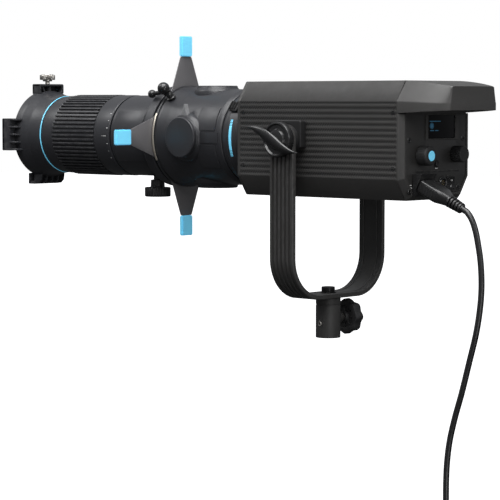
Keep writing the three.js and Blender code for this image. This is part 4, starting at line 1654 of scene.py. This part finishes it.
def make_projector():
    """Gate housing with four bosses, round side caps, the slot's rim and a bright steel arc on its near side
    as a painted highlight.
    """
    body = Box("projector_housing")
    x0, x1 = body.x0, body.x1
    profile = rounded(
        [(x0, 34.2), (x0, 61.9), (x0 + 6.5, 62.4), (x0 + 18.5, 60.2), (x0 + 30, 58.8), (x1 - 6, 58.5),
         (x1 - 1.6, 56.8), (x1, 55.6), (x1, 52.6), (x0 + 6.5, 52.6), (x0 + 3.5, 34.2)],
        1.0,
    )
    shapes = [turned(profile, 160, "X", BEAM)]
    middle = (Box("side_cap_near").x, 0, AXIS_Z)
    skirt = rounded(
        [(50, 0), (50, 30), (57.0, 28.6), (60.4, 25.0), (62.9, 24.4), (62.9, 0)], 1.4, closed=False,
    )
    for k in range(4):
        shapes.append(moved(turned(skirt, 96, "Z", middle), about_beam(k * QUARTER)))
    piece = show("gate_housing", merge(*shapes), finish("barrel_satin"), "head", 30)
    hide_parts("projector_housing")
    disc = rounded([(63.3, 0), (63.3, 24.7), (67.2, 24.7), (68, 23.9), (68, 0)], 0.6, closed=False)
    for name, angle in (("near", QUARTER), ("far", -QUARTER)):
        cap = moved(turned(disc, 128, "Z", middle), about_beam(angle))
        piece = show(f"round_cap_{name}", cap, finish("barrel_satin"), "head", 30)
        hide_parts(f"side_cap_{name}")
    rim = Box("gate_ring")
    made = turned(
        rounded([(rim.x0, 62.7), (rim.x0, 63.3), (rim.x1, 63.3), (rim.x1, 62.7)], 0.2), 160, "X", BEAM,
    )
    piece = show("slot_rim", made, finish("barrel_satin"), "head")
    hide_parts("gate_ring")
    # Painted highlight: a bright steel arc only on the near side of the slot's rim, where its edge catches
    # light.
    trim = slab([arc_band(62.9, 64.1, math.radians(27), math.pi)], rim.x0 + 0.1, rim.x1 - 0.4, "X", 0.3, 3)
    show("slot_highlight", trim, finish("highlight_steel"), "head")


def make_housing_marks():
    """Raised facets behind the side caps, and a grey pointer above each cap."""
    centre_x = Box("side_cap_near").x
    panels = []
    for centre in (0, math.pi):
        for side in (-1, 1):
            band = arc_band(57.6, 59.6, math.radians(14.5), centre + side * math.radians(23))
            panels.append(slab([band], centre_x + 19, -130.5, "X", 0.45, 3))
        panels.append(
            slab([arc_band(57.6, 59.2, math.radians(6.5), centre)], centre_x + 25, -126, "X", 0.3, 2)
        )
    show("housing_facets", merge(*panels), finish("barrel_satin"), "head", 30)
    for name, angle in (("near", QUARTER), ("far", -QUARTER)):
        rise = slab([[(centre_x - 5, 26.3), (centre_x + 5, 26.3), (centre_x, 40.5)]], 53.0, 59.4, "Z", 0.2)
        rise.transform(Matrix.Translation((0, 0, AXIS_Z)))
        if name == "far":
            rise.transform(Matrix.Scale(-1, 4, (0, 1, 0)))
        pointer = moved(rise, about_beam(angle))
        show(f"cap_pointer_{name}", pointer, finish("grey_print"), "head")


# Shutters.


GRIP_HALF = 9.35
GRIP_BASE, GRIP_TOP = 99.6, 124.7  # from the optical axis


def make_shutters():
    """Four blades with moulded grips; each pair has its own plane."""
    half = [(24, 35), (29, 41), (29, 52), (23.5, 61), (GRIP_HALF, 99.3), (6, 99.3), (6, 113)]
    outline = rounded([(-24, 35), *half, *[(-a, b) for a, b in reversed(half[1:])]], 1.5)
    for name, angle in (("top", 0.0), ("bottom", math.pi), ("near", QUARTER), ("far", -QUARTER)):
        body = f"shutter_{name}"
        turn = about_beam(angle)
        blade = Box(f"shutter_blade_{name}")
        made = slab([[(a, b + AXIS_Z) for a, b in outline]], blade.x0, blade.x1, "X", 0.15, 1)
        piece = show(f"blade_{name}", moved(made, turn), finish("blade_steel"), body)
        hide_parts(f"shutter_blade_{name}")
        grip = Box(f"shutter_grip_{name}")
        base, top = AXIS_Z + GRIP_BASE, AXIS_Z + GRIP_TOP
        made = block(grip.x0, grip.x1, -GRIP_HALF, GRIP_HALF, base, top, 1.1, 4)
        piece = show(f"grip_{name}", moved(made, turn), finish("accent_plastic"), body)
        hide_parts(f"shutter_grip_{name}")


# Lens barrel.


BARREL_BORE = 45.3


def make_drum():
    """The gate's front drum and the rear barrel that the lens tube slides in."""
    drum = Box("shutter_drum")
    x0, x1 = drum.x0, drum.x1
    profile = rounded(
        [(x0, BARREL_BORE), (x0, 51.5), (x0 + 2.2, 59.5), (x0 + 6.5, 63), (x1 - 1.2, 63),
         (x1, 62.4), (x1, 34.1), (x1 - 3.7, 34.1), (x1 - 3.7, BARREL_BORE)],
        1.0,
    )
    piece = show(
        "gate_front", turned(profile, 160, "X", BEAM), finish("barrel_satin"), "head", 30,
    )
    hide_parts("shutter_drum")
    collar = Box("lens_collar")
    x0, x1 = collar.x0, collar.x1
    profile = rounded(
        [(x0, BARREL_BORE), (x0, 50.2), (x0 + 1.2, 51), (x1 - 5.5, 51), (x1 - 5.0, 50.2),
         (x1, 50.2), (x1, BARREL_BORE)],
        0.5,
    )
    piece = show(
        "rear_barrel", turned(profile, 160, "X", BEAM), finish("barrel_satin"), "head", 30,
    )
    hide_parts("lens_collar")
    pads = [
        slab([arc_band(50.4, 51.7, math.radians(38), centre)], x0 + 5, x1 - 7, "X", 0.3, 1)
        for centre in (0.0, math.pi)
    ]
    show("barrel_pads", merge(*pads), finish("barrel_satin"), "head")


def make_lens_knob():
    """The knurled knob below the barrel and its stepped stem."""
    knob = Box("lens_lock_knob")
    x = knob.x
    rim = knurled(16.5, 0.7, 30, knob.z0, knob.z0 + 12, "Z", (x, 0, 0), 1.2)
    profile = [(0, 0), (0, 9.6), (0.8, 9.0), (9.5, 8.6), (10, 5.0), (17.8, 5.0), (17.8, 0)]
    stem = turned(profile, 64, "Z", (x, 0, knob.z0 + 11.8))
    piece = show(
        "lens_lock_screw", merge(rim, stem), finish("black_moulding"), "lens_knob", 34,
    )
    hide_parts("lens_lock_knob")


def make_clamp():
    """Cam lever with two ball ends on a hub."""
    joint = JOINTS["clamp_turn"]
    hub = joint["pos_m"][0] / MM
    lean = math.atan2(-joint["axis"][1], joint["axis"][2])
    post = [(63.3, 0), (63.3, 6), (64.6, 6), (65.2, 4.6), (70.4, 4.2), (72, 3.4), (72, 0)]
    neck = [(68, 0), (68, 3.4), (71, 4.4), (71.6, 4.4), (72.5, 3.4), (72.5, 0)]
    arm = [Vector((hub + x, 0, z)) for x, z in ((-30, 69), (-22, 70), (-12, 71.5), (0, 70.5))]
    shapes = [turned(post, 48, "Z", (hub, 0, 0)), tube(arm, 2.7, 20), turned(neck, 32, "Z", (hub - 4, 0, 0))]
    for x, z, radius in ((hub - 30, 69, 5.2), (hub - 4, 78, 7.5)):
        ball = bmesh.new()
        bmesh.ops.create_uvsphere(ball, u_segments=32, v_segments=20, radius=radius)
        ball.transform(Matrix.Translation((x, 0, z)))
        shapes.append(ball)
    lever = merge(*shapes)
    lever.transform(Matrix.Translation((0, 0, AXIS_Z)))
    piece = show(
        "clamp_cam_lever", moved(lever, about_beam(lean)), finish("gloss_black"), "clamp", 34,
    )
    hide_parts("clamp_lever")


ZOOM_BORE = 47.1
SCALE_PITCH = math.radians(11)


def make_zoom_ring():
    """Plain band, ribbed grip and scale band."""
    zoom = Box("zoom_ring")
    x0, x1 = zoom.x0, zoom.x1
    grip0, grip1 = x0 + 22.3, x1 - 27.6
    inner = ZOOM_BORE
    profile = rounded(
        [(x0, inner), (x0, 49.8), (x0 + 1.3, 50.4), (grip0 - 2, 50.9), (grip0 - 0.5, 49.6),
         (grip1, 49.6), (grip1, 51.5), (x1 - 1.6, 51.5), (x1, 50.8), (x1, inner)],
        0.4,
    )
    ribs = sizes().grip_ribs
    shapes = [turned(profile, 180, "X", BEAM)]
    for k in range(ribs):
        rib = block(grip0 - 1.0, grip1 - 0.6, -1.4, 1.4, AXIS_Z + 49.4, AXIS_Z + 52.0, 0.5, 3)
        shapes.append(moved(rib, about_beam(math.tau * k / ribs)))
    piece = show("zoom_grip", merge(*shapes), finish("barrel_satin"), "zoom", 34)
    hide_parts("zoom_ring")
    marks = []
    for k in range(-3, 4):
        start, end = (x1 - 13, x1 - 5) if k == 0 else (x1 - 4.6, x1 - 2.6)
        mark = block(start, end, -0.3, 0.3, AXIS_Z + 51.3, AXIS_Z + 51.56)
        marks.append(moved(mark, about_beam(QUARTER + k * SCALE_PITCH)))
    show("zoom_scale", merge(*marks), finish("white_print"), "zoom")


def make_filter_holder():
    """Front flange with four ribbed brackets."""
    holder = Box("gel_holder")
    back = holder.x1
    profile = rounded(
        [(back, 45.5), (back, 50.1), (-475, 53), (-488, 57.2), (-498.5, 57.7),
         (-500, 56.8), (-500, 51), (-490, 45.5)],
        1.2,
    )
    shapes = [turned(profile, 160, "X", BEAM)]
    for k in range(4):
        shapes.append(moved(bracket(k == 0), about_beam(k * QUARTER)))
    piece = show("filter_holder", merge(*shapes), finish("barrel_satin"), "head", 30)
    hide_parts("gel_holder")


def make_accent_ring():
    """The blue ring behind the filter holder and the black spacer that backs it."""
    ring = Box("accent_ring")
    bore = ZOOM_BORE + 0.1
    front, middle = ring.x0 + 0.1, ring.x0 + 1.7
    profile = rounded([(front, bore), (front, 50.5), (middle, 50.5), (middle, bore)], 0.2)
    piece = show(
        "blue_ring", turned(profile, 160, "X", BEAM), finish("accent_plastic"), "head",
    )
    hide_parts("accent_ring")
    profile = [(middle + 0.1, bore), (middle + 0.1, 50.1), (ring.x1, 50.1), (ring.x1, bore)]
    spacer = turned(profile, 160, "X", BEAM)
    show("ring_spacer", spacer, finish("black_moulding"), "head")


def make_thumbscrew():
    """The knurled screw that holds the filter, with a dished crown and a foot."""
    screw = Box("gel_thumbscrew")
    x = screw.x
    head = knurled(10.2, 0.5, 40, screw.z1 - 7.4, screw.z1 - 0.8, "Z", (x, 0, 0), 0.7)
    profile = [(-0.5, 0), (-0.5, 8.6), (0.3, 8.2), (0.8, 7.6), (0.8, 4.6), (0.2, 4.0), (0.2, 0)]
    crown = turned(profile, 64, "Z", (x, 0, screw.z1 - 0.9))
    profile = [(-2.0, 0), (-2.0, 5.6), (-1.4, 6.2), (0.4, 6.4), (0.4, 0)]
    foot = turned(profile, 64, "Z", (x, 0, screw.z1 - 7.4))
    stem = rod(screw.z0, screw.z1 - 8, 3, "Z", (x, 0, 0))
    made = merge(head, crown, foot, stem)
    piece = show("filter_thumbscrew", made, finish("nickel"), "gel_screw", 34)
    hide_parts("gel_thumbscrew")


BRACKET_HALF = 21
BRACKET_TOP = 66.4  # from the optical axis
FLANGE_FRONT = -502
CHANNEL_FRONT = -512


def bar(x0, x1, y0, y1, low, high, edge):
    """A bar of a bracket, its heights taken from the optical axis."""
    return block(x0, x1, y0, y1, AXIS_Z + low, AXIS_Z + high, edge)


def bracket(top):
    """One ribbed bracket drawn above the axis; the side ones hold the filter's channel."""
    half = BRACKET_HALF
    if top:
        arch = [(4, 53), (21, 53), (21, 66.4), (-4, 66.4), (-4, 63.6), (17.6, 63.6), (17.6, 56), (4, 56)]
        arch = [(a, AXIS_Z + b) for a, b in rounded(arch, 2.6, bends=4)]
        lean = Matrix.Translation((0, -12, AXIS_Z + 58.6)) @ Matrix.Rotation(math.radians(30), 4, "X")
        return merge(
            bar(-503, -499, -half, half, 53, BRACKET_TOP, 0.8),
            bar(FLANGE_FRONT, -487.5, -half, -2, 63.4, BRACKET_TOP, 0.7),
            slab([arch], FLANGE_FRONT, -487, "X", 0.5),
            bar(FLANGE_FRONT, -487, -half, -18.6, 52, 66.2, 0.6),
            moved(block(FLANGE_FRONT, -489, -1.1, 1.1, -8.6, 8.6, 0.4), lean),
            bar(FLANGE_FRONT, -488, -3.4, -1.0, 52, 66.0, 0.5),
        )
    shapes = [
        bar(CHANNEL_FRONT, -507.5, -half, half, 52, BRACKET_TOP, 0.7),
        bar(CHANNEL_FRONT, -499, -half, half, 62.3, BRACKET_TOP, 0.7),
        bar(-500, -497.2, -half, half, 53, 66.2, 0.5),
    ]
    rib = [(-499.5, 53), (-499.5, 66.3), (-492, 65.5), (-487, 61), (-486, 55), (-486, 52)]
    outline = [(x, AXIS_Z + height) for x, height in rib]
    for y in (-19.6, -10, 0, 10, 19.6):
        shapes.append(slab([outline], y - 1.1, y + 1.1, "Y", 0.3, 1))
    return merge(*shapes)


# What the frame's own nodes show.

NODE_FINISHES = {
    "heat_sink": "aluminium",
    "led_board": "laminate",
    "led_emitter": "phosphor",
    "fan_frame": "black_moulding",
    "fan_rotor": "soft_black",
    "power_board": "laminate",
    "control_board": "laminate",
    "lens_tube": "soft_black",
    "lens_carriage": "black_steel",
}


def dress_nodes():
    """Gives the inner pieces of the frame their finishes."""
    for node, name in NODE_FINISHES.items():
        part = frame["nodes"][node]
        part.data.materials.clear()
        part.data.materials.append(finish(name))


def make_lenses():
    """Polished lenses with ground rims in place of the faceted ones."""
    for node, name, body in (
        ("objective_lens", "front_lens", "head"),
        ("zoom_lens", "moving_lens", "carriage"),
        ("condenser_lens", "gate_lens", "head"),
    ):
        box = Box(node)
        thick = box.x1 - box.x0
        radius = box.radius
        bulge = thick * 0.42
        steps = 16
        front = [(box.x0 + bulge * (k / steps) ** 2, radius * k / steps) for k in range(steps + 1)]
        if node == "zoom_lens":
            rear = [(box.x1 - bulge * (k / steps) ** 2, radius * k / steps) for k in range(steps, -1, -1)]
        else:
            rear = [(box.x1, radius), (box.x1, radius * 0.5), (box.x1, 0)]
        piece = show(
            name, turned(front + rear, 128, "X", BEAM), finish("lens_glass"), body, 30,
        )
        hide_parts(node)


# Operators.


class SPOTLIGHT_OT_stage(bpy.types.Operator):
    """Makes the camera, the lights, the white surroundings and the floor"""

    bl_idname = "spotlight.stage"
    bl_label = "Stage"
    bl_options = {"REGISTER", "UNDO"}

    def execute(self, context):
        make_camera()
        make_world()
        make_lights()
        make_floor()
        return {"FINISHED"}


class SPOTLIGHT_OT_lead(bpy.types.Operator):
    """Makes the mains lead with its connector, coil, tie and plug"""

    bl_idname = "spotlight.lead"
    bl_label = "Mains Lead"
    bl_options = {"REGISTER", "UNDO"}

    def execute(self, context):
        make_lead()
        return {"FINISHED"}


class SPOTLIGHT_OT_socket(bpy.types.Operator):
    """Makes the stand socket and its lock knob"""

    bl_idname = "spotlight.socket"
    bl_label = "Stand Socket"
    bl_options = {"REGISTER", "UNDO"}

    def execute(self, context):
        make_socket()
        make_socket_knob()
        return {"FINISHED"}


class SPOTLIGHT_OT_yoke(bpy.types.Operator):
    """Makes the grooved yoke and its bolt"""

    bl_idname = "spotlight.yoke"
    bl_label = "Yoke"
    bl_options = {"REGISTER", "UNDO"}

    def execute(self, context):
        make_yoke()
        return {"FINISHED"}


class SPOTLIGHT_OT_pivots(bpy.types.Operator):
    """Makes the pivot bosses, the far bolt and the tilt lever"""

    bl_idname = "spotlight.pivots"
    bl_label = "Pivots"
    bl_options = {"REGISTER", "UNDO"}

    def execute(self, context):
        make_pivots()
        make_tilt_lever()
        return {"FINISHED"}


class SPOTLIGHT_OT_housing(bpy.types.Operator):
    """Makes the lamp housing, its front plate, rear rim, hood and screws"""

    bl_idname = "spotlight.housing"
    bl_label = "Lamp Housing"
    bl_options = {"REGISTER", "UNDO"}

    def execute(self, context):
        make_shell()
        make_front_plate()
        make_bezel()
        make_hood()
        make_screws()
        return {"FINISHED"}


class SPOTLIGHT_OT_controls(bpy.types.Operator):
    """Makes the control panel with its display, knobs, switch and sockets"""

    bl_idname = "spotlight.controls"
    bl_label = "Controls"
    bl_options = {"REGISTER", "UNDO"}

    def execute(self, context):
        make_panel()
        make_dimmer()
        make_selector()
        make_menu_button()
        make_power_switch()
        make_control_port()
        make_inlet()
        return {"FINISHED"}


class SPOTLIGHT_OT_gate(bpy.types.Operator):
    """Makes the mount ring, the gate housing and the slot's rim"""

    bl_idname = "spotlight.gate"
    bl_label = "Gate Housing"
    bl_options = {"REGISTER", "UNDO"}

    def execute(self, context):
        make_mount_ring()
        make_latch()
        make_projector()
        make_housing_marks()
        return {"FINISHED"}


class SPOTLIGHT_OT_shutters(bpy.types.Operator):
    """Makes the four shutter blades and their grips"""

    bl_idname = "spotlight.shutters"
    bl_label = "Shutters"
    bl_options = {"REGISTER", "UNDO"}

    def execute(self, context):
        make_shutters()
        return {"FINISHED"}


class SPOTLIGHT_OT_barrel(bpy.types.Operator):
    """Makes the lens barrel, its lock knob, clamp lever and zoom ring"""

    bl_idname = "spotlight.barrel"
    bl_label = "Lens Barrel"
    bl_options = {"REGISTER", "UNDO"}

    def execute(self, context):
        make_drum()
        make_lens_knob()
        make_clamp()
        make_zoom_ring()
        return {"FINISHED"}


class SPOTLIGHT_OT_filter_holder(bpy.types.Operator):
    """Makes the filter holder, its thumbscrew and the accent ring"""

    bl_idname = "spotlight.filter_holder"
    bl_label = "Filter Holder"
    bl_options = {"REGISTER", "UNDO"}

    def execute(self, context):
        make_filter_holder()
        make_accent_ring()
        make_thumbscrew()
        return {"FINISHED"}


class SPOTLIGHT_OT_optics(bpy.types.Operator):
    """Makes the lenses and dresses the inner parts"""

    bl_idname = "spotlight.optics"
    bl_label = "Optics"
    bl_options = {"REGISTER", "UNDO"}

    def execute(self, context):
        make_lenses()
        dress_nodes()
        return {"FINISHED"}


OPERATORS = (
    SPOTLIGHT_OT_stage,
    SPOTLIGHT_OT_lead,
    SPOTLIGHT_OT_socket,
    SPOTLIGHT_OT_yoke,
    SPOTLIGHT_OT_pivots,
    SPOTLIGHT_OT_housing,
    SPOTLIGHT_OT_controls,
    SPOTLIGHT_OT_gate,
    SPOTLIGHT_OT_shutters,
    SPOTLIGHT_OT_barrel,
    SPOTLIGHT_OT_filter_holder,
    SPOTLIGHT_OT_optics,
)


class SPOTLIGHT_PT_builder(bpy.types.Panel):
    """Sidebar panel with the settings and the builders"""

    bl_idname = "SPOTLIGHT_PT_builder"
    bl_label = "Spotlight Head"
    bl_space_type = "VIEW_3D"
    bl_region_type = "UI"
    bl_category = "Spotlight"

    def draw(self, context):
        layout = self.layout
        for group in (context.scene.spotlight_sizes, context.scene.spotlight_colours):
            column = layout.column()
            for name in group.__annotations__:
                column.prop(group, name)
        for entry in OPERATORS:
            layout.operator(entry.bl_idname)


CLASSES = (SpotlightSizes, SpotlightColours, *OPERATORS, SPOTLIGHT_PT_builder)


def register():
    for entry in CLASSES:
        bpy.utils.register_class(entry)
    bpy.types.Scene.spotlight_sizes = PointerProperty(type=SpotlightSizes)
    bpy.types.Scene.spotlight_colours = PointerProperty(type=SpotlightColours)


def unregister():
    del bpy.types.Scene.spotlight_colours
    del bpy.types.Scene.spotlight_sizes
    for entry in reversed(CLASSES):
        bpy.utils.unregister_class(entry)


def main():
    """Registers the add-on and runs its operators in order."""
    register()
    for entry in OPERATORS:
        getattr(bpy.ops.spotlight, entry.bl_idname.split(".")[1])()


if __name__ == "__main__":
    main()
